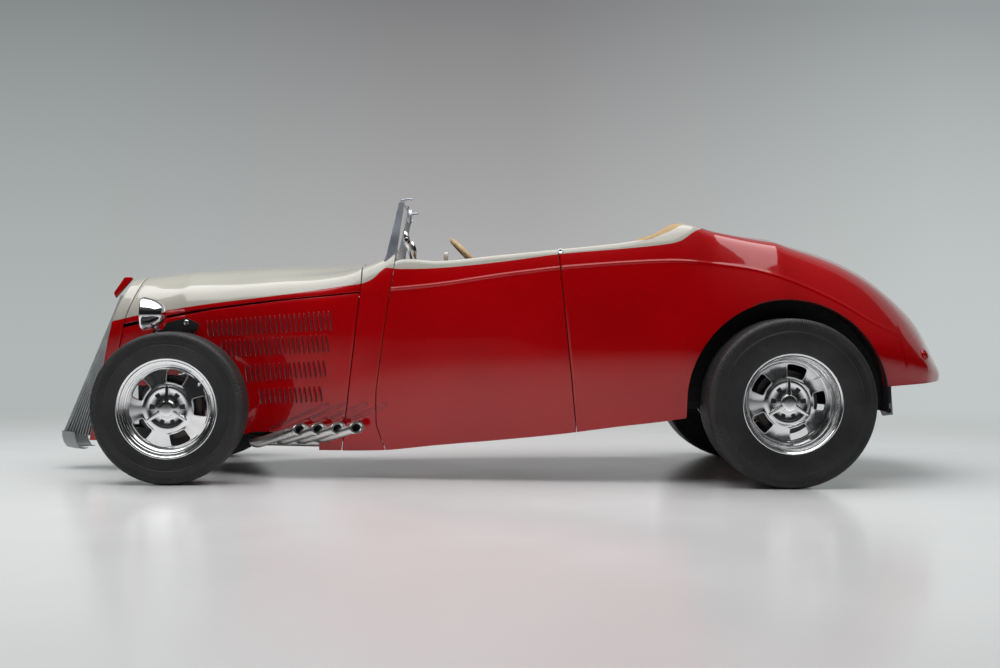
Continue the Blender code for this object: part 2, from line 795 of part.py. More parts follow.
def louvre_cutters():
    """One wedge for each louvre pressed into the left hood side."""
    pieces = []
    for x_first, x_last, count, low_first, high_first, low_last, high_last in LOUVRE_ROWS:
        for k in range(count):
            t = k / (count - 1)
            x = FRONT_AXLE + x_first + (x_last - x_first) * t
            low = low_first + (low_last - low_first) * t
            high = high_first + (high_last - high_first) * t
            lean = (high - low) / 2 * LOUVRE_LEAN
            pieces.append(groove_cutter((x + lean, low), (x - lean, high), LOUVRE_WIDTH, LOUVRE_DEPTH, 0.008))
    return pieces


def flute_cutters(first=0):
    """Wedges for the four long flutes above the left side's pipes."""
    pieces = []
    for x_end, z_end, length in FLUTES[first:]:
        x = FRONT_AXLE + x_end
        start = (x - length * math.cos(math.radians(24)), z_end - length * math.sin(math.radians(24)))
        pieces.append(groove_cutter(start, (x, z_end), FLUTE_WIDTH, FLUTE_DEPTH, 0.012))
    return pieces


def exhaust_opening():
    """The dark slot low in the hood side where the four pipes come out."""
    x0 = along(0.105)
    x1 = along(0.248)
    outline = [(x0, 0.10), (x0 - 0.004, 0.175), (x0 + 0.03, 0.198), (x0 + 0.10, 0.216), (x1, 0.216), (x1, 0.10)]
    return prism(outline, -1, 0)


def build_cowl():
    stations = bays(0.265, 0.363)
    body = shell(stations, ROUND_STEPS, 0, SKIN * 1.6)
    front = side_line(HOOD_REAR)
    rear = shifted(side_line(DOOR_FRONT), -MOVING_GAP / 2)
    body = keep(body, region(front, rear))
    lip = shell(stations, ROUND_STEPS, HOOD_SKIN + FIT, SKIN + LIP)
    lip = keep(lip, region(shifted(front, -LIP_REACH), shifted(front, LIP_REACH)))
    left = flute_cutters()
    right = [mirrored(piece) for piece in left]
    body = cut(body, *left, *right)
    firewall = core(FIREWALL, SKIN)
    tunnel = box(along(0.30), along(0.36), -0.16, 0.16, 0.0, 0.52)
    firewall = cut(firewall, box(-3, 3, -1, 1, -1, 0.30), tunnel)
    body = fuse(body, lip, firewall)
    return node(body, 'cowl', 'red_paint')


def door_hinge_line():
    """Two points of the left door's hinge axis, on the outer skin at its rear seam."""
    (x0, z0), (x1, z1) = side_line(DOOR_REAR)[1:3]
    slope = (x1 - x0) / (z1 - z0)
    y = -0.672
    middle = z0 + (z1 - z0) * 0.5
    return (Vector((x0 + slope * (0.50 - z0), y, 0.50)), Vector((x0 + slope * (0.86 - z0), y, 0.86)), middle)


def build_doors():
    body = wall(bays(0.325, 0.672), SIDE_STEPS, DOOR_WALL)
    front = shifted(side_line(DOOR_FRONT), MOVING_GAP / 2)
    rear = shifted(side_line(DOOR_REAR), -MOVING_GAP / 2)
    body = keep(body, region(front, rear))
    relief = shell_relief()
    body = cut(body, relief, *flute_cutters(2))
    low, high, _ = door_hinge_line()
    knuckles = []
    for centre in (low, high):
        along_axis = (high - low).normalized()
        start = centre - along_axis * 0.030
        end = centre - along_axis * FIT / 2
        knuckles.append(rod(start, end, 0.0026, 8))
        knuckles.append(hinge_web(start, end, -1))
    body = fuse(body, *knuckles)
    node(mirrored(body), 'door_right', 'red_paint', Vector((low.x, -low.y, low.z)))
    return node(body, 'door_left', 'red_paint', low)


def shell_relief():
    """Slants the door's front end so that its inner corner clears the cowl as it swings."""
    front = side_line(DOOR_FRONT)
    rings = []
    for x, z in front:
        rings.append([(x - 0.10, -0.35, z), (x + 0.045, -0.35, z), (x - 0.002, -0.60, z), (x - 0.10, -0.60, z)])
    return loft(rings, 'relief')


def hinge_web(start, end, side):
    """A thin leaf from the hinge knuckle into the wall beside it."""
    reach = 0.012 * side
    rings = []
    for point in (start, end):
        x, y, z = point
        rings.append([(x - 0.0018, y, z), (x + 0.0018, y, z), (x + 0.0018 + reach, y + 0.03, z),
                      (x - 0.0018 + reach, y + 0.03, z)])
    return loft(rings, 'web')


def build_rear_body():
    outer = core(bays(0.62, TAIL_END), 0)
    front = shifted(side_line(DOOR_REAR), MOVING_GAP / 2)
    outer = keep(outer, region(front, [(along(2.1), 1.4), (along(2.1), -0.1)]))
    cockpit = core([*bays(0.62, 0.80)[:-1], COCKPIT_END], DOOR_WALL, 0.2, 1.5)
    trunk = core([TRUNK_START, *bays(0.90, 1.90)[1:-1], 1.955], SKIN * 1.5)
    trunk = cut(trunk, box(-3, 3, -1, 1, -0.2, 0.645))
    wells = []
    tubs = []
    centre = (REAR_AXLE + 0.013, 0, REAR_TYRE_RADIUS)
    for side in (-1, 1):
        near = Vector(centre) + Vector((0, side * WELL_INSET, 0))
        far = Vector(centre) + Vector((0, side * 0.9, 0))
        wells.append(rod(near, far, WELL_RADIUS, 36))
        near = Vector(centre) + Vector((0, side * (WELL_INSET - 0.015), 0))
        tubs.append(rod(near, far, WELL_RADIUS + 0.015, 24))
    trunk = cut(trunk, *tubs)
    under = core([TRUNK_START, *bays(0.90, 1.90)[1:-1], 1.955], SKIN * 1.5, 0.2)
    under = cut(under, box(-3, 3, -1, 1, 0.620, 1.5))
    notch = box(along(0.83), along(0.88), -0.475, 0.475, -0.1, rail_top(TRUNK_START))
    pocket = keep(shell(bays(0.93, 1.65), ROUND_STEPS[4:-4], -SKIN, SKIN + FIT), lid_region(0.0))
    body = carve(outer, cockpit, trunk, under, pocket, lid_region(LIP_REACH), notch, *wells)
    low, high, _ = door_hinge_line()
    knuckles = []
    for hand in (-1, 1):
        for centre in (low, high):
            along_axis = (high - low).normalized()
            start = centre + along_axis * FIT / 2
            end = centre + along_axis * 0.030
            pieces = [rod(start, end, 0.0026, 8), hinge_web(start, end, 1)]
            if hand == 1:
                flipped = [mirrored(piece) for piece in pieces]
                for piece in pieces:
                    bpy.data.objects.remove(piece, do_unlink=True)
                pieces = flipped
            knuckles += pieces
    body = fuse(body, *knuckles)
    return node(body, 'rear_body', 'red_paint')


def lid_region(margin):
    """The deck lid's outline in plan, rounded at its rear, as a tall cutter."""
    x0 = along(LID_FRONT) + margin
    x1 = along(LID_REAR) - margin
    wide = 0.40 - margin
    narrow = 0.31 - margin
    outline = [(x0, -wide), (x0, wide), (x1 - 0.12, narrow + 0.02), (x1 - 0.03, narrow - 0.04),
               (x1, narrow - 0.13), (x1, -narrow + 0.13), (x1 - 0.03, -narrow + 0.04), (x1 - 0.12, -narrow - 0.02)]
    return prism(outline, 0.70, 1.5, 'Z')


def build_deck_lid():
    body = shell(bays(0.93, 1.65), ROUND_STEPS[4:-4], 0, SKIN)
    body = keep(body, lid_region(MOVING_GAP))
    return node(body, 'deck_lid', 'red_paint', lid_axis())


def lid_axis():
    x = along(LID_FRONT) + MOVING_GAP / 2
    return (x, 0, blend_row(LID_FRONT, 6) - 0.004)


def rail_top(bay):
    """Height of the frame rails' upper face, and of what rests on it."""
    return rail_point(bay, 1).z + RAIL_HEIGHT / 2 + FIT


def build_floor():
    rings = []
    for bay, tunnel in ((FIREWALL[1], 0.480), (0.35, 0.482), (0.45, 0.488), (0.632, 0.500), (0.81, 0.512),
                        (COCKPIT_END, 0.514)):
        x = along(bay)
        x += FIT if bay == FIREWALL[1] else -FIT if bay == COCKPIT_END else 0
        z = rail_top(bay)
        half = -section_point(bay, 0)[0] - DOOR_WALL - 0.012
        edge = z + 0.055
        top = z + FLOOR_THICKNESS
        outline = [(-half, edge), (-half, z), (-0.150, z), (-0.115, tunnel), (0.115, tunnel), (0.150, z), (half, z),
                   (half, edge), (half - 0.010, edge), (half - 0.010, top), (0.160, top),
                   (0.124, tunnel + FLOOR_THICKNESS), (-0.124, tunnel + FLOOR_THICKNESS), (-0.160, top),
                   (-half + 0.010, top), (-half + 0.010, edge)]
        rings.append([(x, y, height) for y, height in outline])
    return node(loft(rings, 'floor'), 'floor_pan', 'black')


# Frame, axles and steering


def rail_point(bay, side):
    rows = RAIL_PATH
    for one, two in zip(rows, rows[1:]):
        if one[0] <= bay <= two[0]:
            t = (bay - one[0]) / (two[0] - one[0])
            return Vector((along(bay), side * (one[2] + t * (two[2] - one[2])), one[1] + t * (two[1] - one[1])))
    return None


def build_frame():
    pieces = []
    for side in (-1, 1):
        rings = []
        for bay, z, y in RAIL_PATH:
            x = along(bay)
            rings.append([(x, side * y + a * RAIL_WIDTH / 2, z + b * RAIL_HEIGHT / 2)
                          for a, b in ((-1, -1), (1, -1), (1, 1), (-1, 1))])
        pieces.append(loft(rings, 'rail'))
    for bay in (-0.57, -0.36, 0.22, 0.62, 0.93, 1.50):
        one = rail_point(bay, -1)
        two = rail_point(bay, 1)
        drop = 0.016 if 0.5 < bay < 0.8 else 0
        pieces.append(box(one.x - 0.02, one.x + 0.02, one.y, two.y, one.z - 0.028 - drop, one.z + 0.028 - drop))
    x = along(TOWER_BAY)
    foot = rail_point(TOWER_BAY, -1)
    tower_half = 0.205
    for side in (-1, 1):
        path = [(x, side * 0.165, foot.z), (x, side * 0.19, 0.36), (x, side * tower_half, 0.60),
                (x, side * 0.235, TOWER_TOP - 0.02), (x, side * 0.28, TOWER_TOP), (x, side * 0.44, TOWER_TOP)]
        pieces.append(bent_tube(path, 0.017, 10))
        pieces.append(bracket_plate(side))
        pieces.append(rear_bracket(side))
    body = fuse(pieces[0], *pieces[1:])
    return node(body, 'chassis_frame', 'black')


def bracket_plate(side):
    """The black plate outside the hood that carries the lamp and the coilover's top."""
    x = FRONT_AXLE
    outline = [(x - 0.130, 0.690), (x - 0.130, LAMP_FOOT), (x - 0.088, LAMP_FOOT), (x - 0.058, 0.742),
               (x + 0.03, 0.762), (x + 0.087, 0.735), (x + 0.080, 0.700), (x + 0.045, 0.692), (x - 0.05, 0.690)]
    y = side * 0.428
    return prism(outline, min(y, y - side * 0.012), max(y, y - side * 0.012))


def rear_bracket(side):
    """A polished drop plate with a hole, behind the rear wheel."""
    x0 = along(1.574)
    x1 = along(1.652)
    y = side * 0.385
    plate = prism([(x0, 0.455), (x1 - 0.01, 0.455), (x1 + 0.002, 0.310), (x1 - 0.045, 0.306), (x0, 0.36)],
                  y - 0.006, y + 0.006)
    hole = rod((x1 - 0.018, y - 0.1, 0.330), (x1 - 0.018, y + 0.1, 0.330), 0.009, 12)
    return cut(plate, hole)


def build_front_axle():
    x = FRONT_AXLE
    z = FRONT_TYRE_RADIUS
    low = z - BEAM_DROP
    path = [(x, -KINGPIN_HALF + 0.012, z), (x, -0.455, z - 0.008), (x, -0.41, low), (x, 0.41, low),
            (x, 0.455, z - 0.008), (x, KINGPIN_HALF - 0.012, z)]
    pieces = [bent_tube(path, BEAM_RADIUS, 10)]
    bores = []
    for side in (-1, 1):
        y = side * KINGPIN_HALF
        pieces.append(rod((x, y, z - BOSS_HALF), (x, y, z + BOSS_HALF), BOSS_RADIUS, 14))
        bores.append(rod((x, y, z - 0.2), (x, y, z + 0.2), KINGPIN_RADIUS + RUNNING, 12))
        coil_foot = Vector((x, side * COIL_HALF, low))
        coil_head = Vector((along(TOWER_BAY), side * (COIL_HALF + 0.004), TOWER_TOP - 0.017 - FIT))
        pieces.append(coilover(coil_foot, coil_head))
        pivot = rail_point(0.125, side)
        lean = (RAIL_PATH[2][2] - RAIL_PATH[1][2]) / (along(RAIL_PATH[2][0]) - along(RAIL_PATH[1][0]))
        end = pivot + Vector((0, side * (RAIL_WIDTH / 2 + FIT + BUSH_HALF + BUSH_RADIUS * lean), 0.01))
        pieces.append(rod((x, side * 0.30, low), end, 0.012, 8))
        half = Vector((0, BUSH_HALF, 0))
        pieces.append(rod(end - half, end + half, BUSH_RADIUS, 10))
    body = fuse(pieces[0], *pieces[1:])
    body = cut(body, *bores)
    return node(body, 'front_axle', 'black')


def coilover(foot, head):
    """A coil spring over a shock absorber, its turns as rings round the body."""
    axis = head - foot
    length = axis.length
    profile = [(0, 0.012), (length * 0.22, 0.012), (length * 0.23, COIL_RADIUS)]
    turns = 3
    for k in range(turns):
        start = 0.24 + 0.62 * k / turns
        profile += [(length * start, COIL_RADIUS - 0.004), (length * (start + 0.035), COIL_RADIUS + 0.004),
                    (length * (start + 0.07), COIL_RADIUS + 0.004), (length * (start + 0.10), COIL_RADIUS - 0.004)]
    profile += [(length * 0.885, COIL_RADIUS), (length * 0.90, 0.010), (length, 0.010)]
    return turned(profile, foot, axis, 10)


def build_knuckles():
    x = FRONT_AXLE
    z = FRONT_TYRE_RADIUS
    for hand, side in (('left', -1), ('right', 1)):
        y = side * KINGPIN_HALF
        ear = BOSS_HALF + RUNNING
        thick = 0.016
        pieces = [rod((x, y, z - ear - thick), (x, y, z + ear + thick), KINGPIN_RADIUS, 10)]
        for up in (-1, 1):
            z0 = z + up * ear
            z1 = z + up * (ear + thick)
            pieces.append(rod((x, y, z0), (x, y, z1), BOSS_RADIUS, 10))
            reach = side * (KINGPIN_HALF + BOSS_RADIUS + 0.014)
            pieces.append(box(x - 0.020, x + 0.020, min(y, reach), max(y, reach), min(z0, z1), max(z0, z1)))
        web = KINGPIN_HALF + BOSS_RADIUS + 0.004
        pieces.append(box(x - 0.026, x + 0.026, min(side * web, side * (web + 0.014)),
                          max(side * web, side * (web + 0.014)), z - ear - thick, z + ear + thick))
        hub_face = FRONT_TRACK_HALF + rim_half(FRONT_TYRE_WIDTH) - FRONT_DISH - HUB_DEPTH
        line = [(hub_face - FIT, 0), (hub_face - FIT, SPINDLE_RADIUS), *drum_line(hub_face - 0.002, SPINDLE_RADIUS),
                (web + 0.004, SPINDLE_RADIUS), (web + 0.004, 0)]
        pieces.append(spun(line, (x, 0, z), (0, side, 0), 18))
        arm = Vector((x - ARM_REACH, side * (KINGPIN_HALF - ARM_INSET), z - ear - ARM_DROP))
        root = Vector((x, y, z - ear - ARM_DROP))
        pieces.append(rod(root, arm, 0.0095, 8))
        pieces.append(rod(arm - Vector((0, 0, 0.010)), arm + Vector((0, 0, 0.010)), 0.014, 10))
        pieces.append(rod(arm - Vector((0, 0, 0.042)), arm, 0.006, 10))
        body = fuse(pieces[0], *pieces[1:])
        node(body, f'knuckle_{hand}', 'cast', (x, y, z))


def build_tie_rod():
    z = FRONT_TYRE_RADIUS - BOSS_HALF - RUNNING - ARM_DROP - 0.010 - RUNNING - 0.010
    x = FRONT_AXLE - ARM_REACH
    y = KINGPIN_HALF - ARM_INSET
    pieces = [rod((x, -y + 0.012, z), (x, y - 0.012, z), ROD_RADIUS, 8)]
    bores = []
    for side in (-1, 1):
        pieces.append(rod((x, side * y, z - 0.010), (x, side * y, z + 0.010), 0.017, 12))
        bores.append(rod((x, side * y, z - 0.1), (x, side * y, z + 0.1), 0.006 + RUNNING, 12))
    body = fuse(pieces[0], *pieces[1:])
    return node(cut(body, *bores), 'tie_rod', 'chrome', (x, -y, z))


def drum_line(face, bore):
    """The brake drum's (along, radius) points from its outer face inward."""
    back = face - DRUM_WIDTH
    return [(face, bore), (face - 0.002, DRUM_RADIUS - 0.008), (face - 0.008, DRUM_RADIUS),
            (back + 0.010, DRUM_RADIUS), (back + 0.003, DRUM_RADIUS - 0.02), (back, bore)]


def build_rear_axle():
    x = REAR_AXLE
    z = REAR_TYRE_RADIUS
    hub_face = REAR_TRACK_HALF + rim_half(REAR_TYRE_WIDTH) - REAR_DISH - HUB_DEPTH
    half = [(hub_face - FIT, 0), (hub_face - FIT, 0.034), *drum_line(hub_face - 0.002, 0.034),
            (0.13, 0.034), (0.11, 0.085), (0.06, 0.118)]
    pieces = [spun(half + [(-a, r) for a, r in reversed(half)], (x, 0, z), (0, 1, 0), 18)]
    pieces.append(rod((x - 0.21, 0, z), (x, 0, z), 0.038, 12, 0.07))
    for side in (-1, 1):
        pivot = rail_point(0.78, side)
        pivot.y -= side * (RAIL_WIDTH / 2 + FIT + BUSH_HALF + 0.001)
        pieces.append(rod((x, side * 0.36, z - 0.045), pivot, 0.013, 8))
        pieces.append(box(x - 0.02, x + 0.02, min(side * 0.345, side * 0.375), max(side * 0.345, side * 0.375),
                          z - 0.06, z))
        half = Vector((0, BUSH_HALF, 0))
        pieces.append(rod(pivot - half, pivot + half, BUSH_RADIUS, 10))
    body = fuse(pieces[0], *pieces[1:])
    return node(body, 'rear_axle', 'black')


def build_engine():
    body = box(along(0.038), along(0.245), -ENGINE_HALF, ENGINE_HALF, 0.262, 0.80)
    return node(body, 'engine_block', 'cast')


def build_gearbox():
    body = turned([(0, 0.135), (0.10, 0.135), (0.17, 0.095), (0.50, 0.080), (0.52, 0.055)],
                  (along(0.245) + FIT, 0, SHAFT_HEIGHT), (1, 0, 0), 16)
    return node(body, 'gearbox', 'cast')


def build_driveshaft():
    start = Vector((along(0.245) + FIT * 2 + 0.52, 0, SHAFT_HEIGHT))
    end = Vector((REAR_AXLE - 0.21 - FIT, 0, REAR_TYRE_RADIUS))
    heading = (end - start).normalized()
    return node(rod(start + heading * 0.001, end - heading * 0.001, 0.034, 14), 'driveshaft', 'cast')


def build_radiator():
    x0 = along(-0.40)
    foot = rail_point(-0.36, 1).z + 0.028 + FIT
    body = prism([(-0.085, foot), (0.085, foot), (0.150, 0.74), (-0.150, 0.74)], x0, x0 + 0.055, 'X')
    return node(body, 'radiator', 'black')


def build_exhausts():
    mouths = (0.2032, 0.2341, 0.2668, 0.2984)
    starts = (0.1240, 0.1680, 0.2011, 0.2344)

    def beside(bay, out):
        return -section_point(bay, 0)[0] + out

    side = -1
    pieces = []
    for mouth, start in zip(mouths, starts):
        x0 = along(start)
        x1 = along(mouth)
        z1 = PIPE_MOUTH_HEIGHT + 0.05 * (x1 - along(mouths[0]))
        z0 = z1 - (x1 - x0) * PIPE_SLOPE
        middle = (start + mouth) / 2
        path = [(x0 - 0.015, side * beside(start, -0.040), z0), (x0 + 0.01, side * beside(start, 0.028), z0 + 0.002),
                ((x0 + x1) / 2, side * beside(middle, 0.062), (z0 + z1) / 2),
                (x1, side * beside(mouth, 0.090), z1)]
        pieces.append(bent_tube(path, PIPE_RADIUS, 10, PIPE_RADIUS - 0.0035, 0.05))
    log = [(along(b), side * beside(b, -0.055), 0.168) for b in (0.112, 0.168, 0.235)]
    pieces.append(bent_tube(log, 0.024, 8))
    x = along(0.158)
    bend = beside(0.158, -0.055)
    pieces.append(bent_tube([(x, side * (ENGINE_HALF + FIT), 0.33), (x, side * 0.285, 0.33), (x, side * bend, 0.28),
                             (x, side * bend, 0.17)], 0.022, 8))
    body = weld(pieces[0], *pieces[1:])
    node(mirrored(body), 'exhaust_right', 'polished')
    return node(body, 'exhaust_left', 'polished')


# Fittings


def build_lamps(rear_body):
    for hand, side in (('left', -1), ('right', 1)):
        centre = Vector((FRONT_AXLE - LAMP_AHEAD, side * LAMP_HALF, LAMP_HEIGHT))
        profile = [(-0.045, 0.070), (-0.040, 0.081), (-0.028, 0.081), (-0.020, 0.077), (0.020, 0.066),
                   (0.050, 0.045), (0.066, 0.018)]
        bowl = turned(profile, centre, (1, 0, 0), 20)
        x = FRONT_AXLE - LAMP_AHEAD + 0.026
        stem = rod((x, side * LAMP_HALF, LAMP_FOOT + FIT), (x, side * LAMP_HALF, LAMP_HEIGHT - 0.02), 0.005, 8)
        node(fuse(bowl, stem), f'headlamp_{hand}', 'chrome')
        place = Vector((along(TAIL_LAMP[0]), *section_point(*TAIL_LAMP)))
        normal = surface_normal(*TAIL_LAMP)
        _, seat, facing, _ = rear_body.ray_cast(place + normal * 0.1, -normal)
        lamp = turned([(FIT, 0.026), (0.024, 0.026), (0.030, 0.019)], seat, facing, 14)
        if side == 1:
            flipped = mirrored(lamp)
            bpy.data.objects.remove(lamp, do_unlink=True)
            lamp = flipped
        node(lamp, f'tail_lamp_{hand}', 'lamp_red')


def top_height(bay, half):
    """Height of the body's upper surface at a bay number and a distance from the middle."""
    low, high = 2.0, 4.0
    for _ in range(30):
        middle = (low + high) / 2
        if -section_point(bay, middle)[0] > half:
            low = middle
        else:
            high = middle
    return section_point(bay, low)[1]


def surface_normal(bay, v):
    """The outward unit normal of the left side's surface."""
    step = 0.004
    ahead = Vector((along(bay + step), *section_point(bay + step, v)))
    behind = Vector((along(bay - step), *section_point(bay - step, v)))
    above = Vector((along(bay), *section_point(bay, v + 0.05)))
    below = Vector((along(bay), *section_point(bay, v - 0.05)))
    return (above - below).cross(ahead - behind).normalized() * -1


def build_windshield(cowl):
    x_low = along(WINDSHIELD_BAY)
    rake = HEADER_BACK
    low = top_height(WINDSHIELD_BAY + 0.006, 0.467)
    high = HEADER_HEIGHT
    half_low = 0.475
    half_high = 0.462
    bar = HEADER_RADIUS
    pieces = []
    reach = 0.018
    for side in (-1, 1):
        pieces.append(bent_tube([(x_low, side * half_low, low + 0.013), (x_low + rake, side * half_high, high)], bar, 10))
        sides = [side * half_low - 0.008, side * half_low + 0.008]
        shares = [k / 12 for k in range(13)]
        heights = [max(drop_on(cowl, x_low + reach * (2 * t - 1), y) for y in sides) for t in shares]
        rise = heights[-1] - heights[0]
        front = max(z - rise * t for z, t in zip(heights, shares)) + FIT
        back = front + rise
        pieces.append(prism([(x_low - reach, front), (x_low + reach, back), (x_low + reach, low + 0.05),
                             (x_low, low + 0.13), (x_low - 0.014, low + 0.05)], *sides))
    pieces.append(rod((x_low + rake, -half_high, high), (x_low + rake, half_high, high), bar, 10))
    pieces.append(rod((x_low + 0.009, -half_low, low + 0.05), (x_low + 0.009, half_low, low + 0.05), bar * 0.8, 10))
    body = fuse(pieces[0], *pieces[1:])
    node(body, 'windshield_frame', 'chrome')
    edge = 0.0125
    slope = rake / (high - low)
    z0 = low + 0.0605
    z1 = high - bar * math.cos(math.pi / 10) - FIT
    w0 = half_low - edge - 0.004
    w1 = half_high - edge
    thick = 0.003
    rings = [[(x_low + slope * (z0 - low) + t, -w0, z0), (x_low + slope * (z0 - low) + t, w0, z0),
              (x_low + slope * (z1 - low) + t, w1, z1), (x_low + slope * (z1 - low) + t, -w1, z1)]
             for t in (-thick, thick)]
    node(loft(rings, 'glass'), 'windshield_glass', 'glass')


def build_mirror():
    """The inside mirror, hung by a short stem from the back of the windshield's header."""
    x = along(WINDSHIELD_BAY) + HEADER_BACK + HEADER_RADIUS + FIT + 0.005
    body = turned([(-0.010, 0.020), (0.000, 0.034), (0.012, 0.036), (0.016, 0.032)], (x, 0, 1.283), (1, 0, 0), 18)
    stem = rod((x, 0, 1.283), (x, 0, HEADER_HEIGHT), 0.005, 8)
    return node(fuse(body, stem), 'mirror', 'chrome')


def build_dashboard():
    """The dashboard, a plate that follows the inside of the cowl."""
    x = along(0.3575) - 0.008
    body = core(bays(0.345, 0.3575), SKIN * 1.6 + FIT)
    return node(keep(body, box(x - 0.022, x, -1, 1, DASH_BOTTOM, 2)), 'dashboard', 'tan')


def steering_axis():
    """Centre of the wheel's rim and the unit vector up the column toward the driver."""
    centre = Vector((along(STEERING_BAY), -STEERING_SIDE, STEERING_HEIGHT))
    heading = Vector((math.cos(math.radians(STEERING_RAKE)), 0, math.sin(math.radians(STEERING_RAKE))))
    return centre, heading


def build_steering():
    centre, heading = steering_axis()
    rim_radius = STEERING_RADIUS
    rim = [(0.009 * math.cos(a), rim_radius + 0.009 * math.sin(a)) for a in
           [2 * math.pi * k / 6 for k in range(6)]]
    wheel = lathe(rim, centre, heading, 26)
    parts = [turned([(-0.045, 0.018), (-0.020, 0.030), (-0.008, 0.030), (0.0, 0.016)], centre, heading, 12)]
    for angle in (90, 210, 330):
        turn = heading.to_track_quat('Z', 'Y').to_matrix()
        out = turn @ Vector((math.cos(math.radians(angle)), math.sin(math.radians(angle)), 0))
        parts.append(rod(centre - heading * 0.016 + out * 0.015, centre + out * (rim_radius - 0.003), 0.006, 6))
    node(fuse(wheel, *parts), 'steering_wheel', 'wood', centre)
    top = centre - heading * (0.045 + FIT)
    reach = (centre.x - along(FIREWALL[1]) - FIT - COLUMN_RADIUS * heading.z) / heading.x
    column = rod(centre - heading * reach, top, COLUMN_RADIUS, 14)
    node(column, 'steering_column', 'chrome')


def build_seats():
    front = 0.600
    rear = 0.785
    over = FLOOR_THICKNESS + FIT
    cushion = prism([(along(front), rail_top(front) + over), (along(rear), rail_top(rear) + over), (along(rear), 0.63),
                     (along(front + 0.006), 0.655), (along(front - 0.004), 0.62)], -0.50, 0.50)
    tunnel = box(-3, 3, -0.170, 0.170, 0, 0.530)
    node(cut(cushion, tunnel), 'seat_cushion', 'tan')
    x = along(rear) + FIT
    back = prism([(x, 0.54), (along(0.838), 0.54), (along(0.8405), 1.16), (along(0.835), 1.20),
                  (along(0.800), 1.165), (x, 1.10)], -0.50, 0.50)
    node(back, 'seat_back', 'tan')


def build_gear_lever():
    x = along(0.442)
    base = 0.50
    pieces = [turned([(0, 0.030), (0.016, 0.022), (0.030, 0.008)], (x - 0.02, 0, base), (0, 0, 1), 16),
              rod((x - 0.02, 0, base + 0.01), (x, 0, 1.06), 0.006, 8),
              turned([(-0.022, 0.010), (-0.012, 0.021), (0.010, 0.023), (0.024, 0.012)], (x, 0, 1.078), (0, 0, 1), 16)]
    return node(fuse(pieces[0], *pieces[1:]), 'gear_lever', 'chrome')


def build_ornament():
    """The crest on the nose, seated against the shell's front edge."""
    high, low = 0.955, 0.944
    outline = [(along(-0.615), 0.885), (along(-0.595), 0.855), (line_x(GRILLE_EDGE, low) - FIT, low),
               (line_x(GRILLE_EDGE, high) - FIT, high), (along(-0.53), 0.968)]
    return node(prism(outline, -0.02, 0.02), 'nose_ornament', 'red_paint')


def main():
    clear_scene()
    for name, sizes, side in wheel_places():
        build_tyre(name, sizes, side)
        build_wheel(name, sizes, side)
    build_frame()
    build_front_axle()
    build_knuckles()
    build_tie_rod()
    build_rear_axle()
    build_engine()
    build_gearbox()
    build_driveshaft()
    build_radiator()
    build_exhausts()
    build_grille_shell()
    build_grille_insert()
    build_ornament()
    build_hood_top()
    build_hood_sides()
    cowl = build_cowl()
    build_doors()
    rear_body = build_rear_body()
    build_deck_lid()
    build_floor()
    build_lamps(rear_body)
    build_windshield(cowl)
    build_mirror()
    build_dashboard()
    build_steering()
    build_seats()
    build_gear_lever()


main()
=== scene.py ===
"""Street rod roadster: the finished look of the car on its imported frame.

It is laid out as an add-on. Metres, +Z up, the nose points to -X and the left side faces -Y.
"""

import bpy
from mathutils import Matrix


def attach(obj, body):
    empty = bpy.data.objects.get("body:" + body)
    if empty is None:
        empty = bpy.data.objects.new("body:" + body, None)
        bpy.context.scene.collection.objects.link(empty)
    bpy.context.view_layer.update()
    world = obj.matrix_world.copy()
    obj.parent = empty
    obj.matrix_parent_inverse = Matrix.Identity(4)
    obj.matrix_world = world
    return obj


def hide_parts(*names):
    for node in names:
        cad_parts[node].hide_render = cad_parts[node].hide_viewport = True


bl_info = {
    'name': 'Street rod roadster',
    'version': (1, 0, 0),
    'blender': (4, 5, 0),
    'location': 'View3D > Sidebar > Roadster',
    'description': 'Dresses the packed street rod roadster and sets up its studio',
    'category': 'Object',
}

import math

import bmesh
import bpy
from bpy.props import FloatProperty, FloatVectorProperty, IntProperty, PointerProperty
from bpy.types import Operator, Panel, PropertyGroup
from mathutils import Matrix, Vector

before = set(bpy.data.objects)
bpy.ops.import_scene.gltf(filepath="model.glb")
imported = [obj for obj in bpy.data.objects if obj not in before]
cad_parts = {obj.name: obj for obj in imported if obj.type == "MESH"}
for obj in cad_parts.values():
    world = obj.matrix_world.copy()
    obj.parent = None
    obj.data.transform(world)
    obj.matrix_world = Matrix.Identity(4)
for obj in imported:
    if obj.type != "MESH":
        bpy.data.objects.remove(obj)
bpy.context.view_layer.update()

# The car's own sizes, in metres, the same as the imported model's
WHEELBASE = 2.845
FRONT_OVERHANG = 0.681
REAR_OVERHANG = 0.901
FRONT_AXLE = -(FRONT_OVERHANG + WHEELBASE + REAR_OVERHANG) / 2 + FRONT_OVERHANG
REAR_AXLE = FRONT_AXLE + WHEELBASE
SEAM = 0.0045

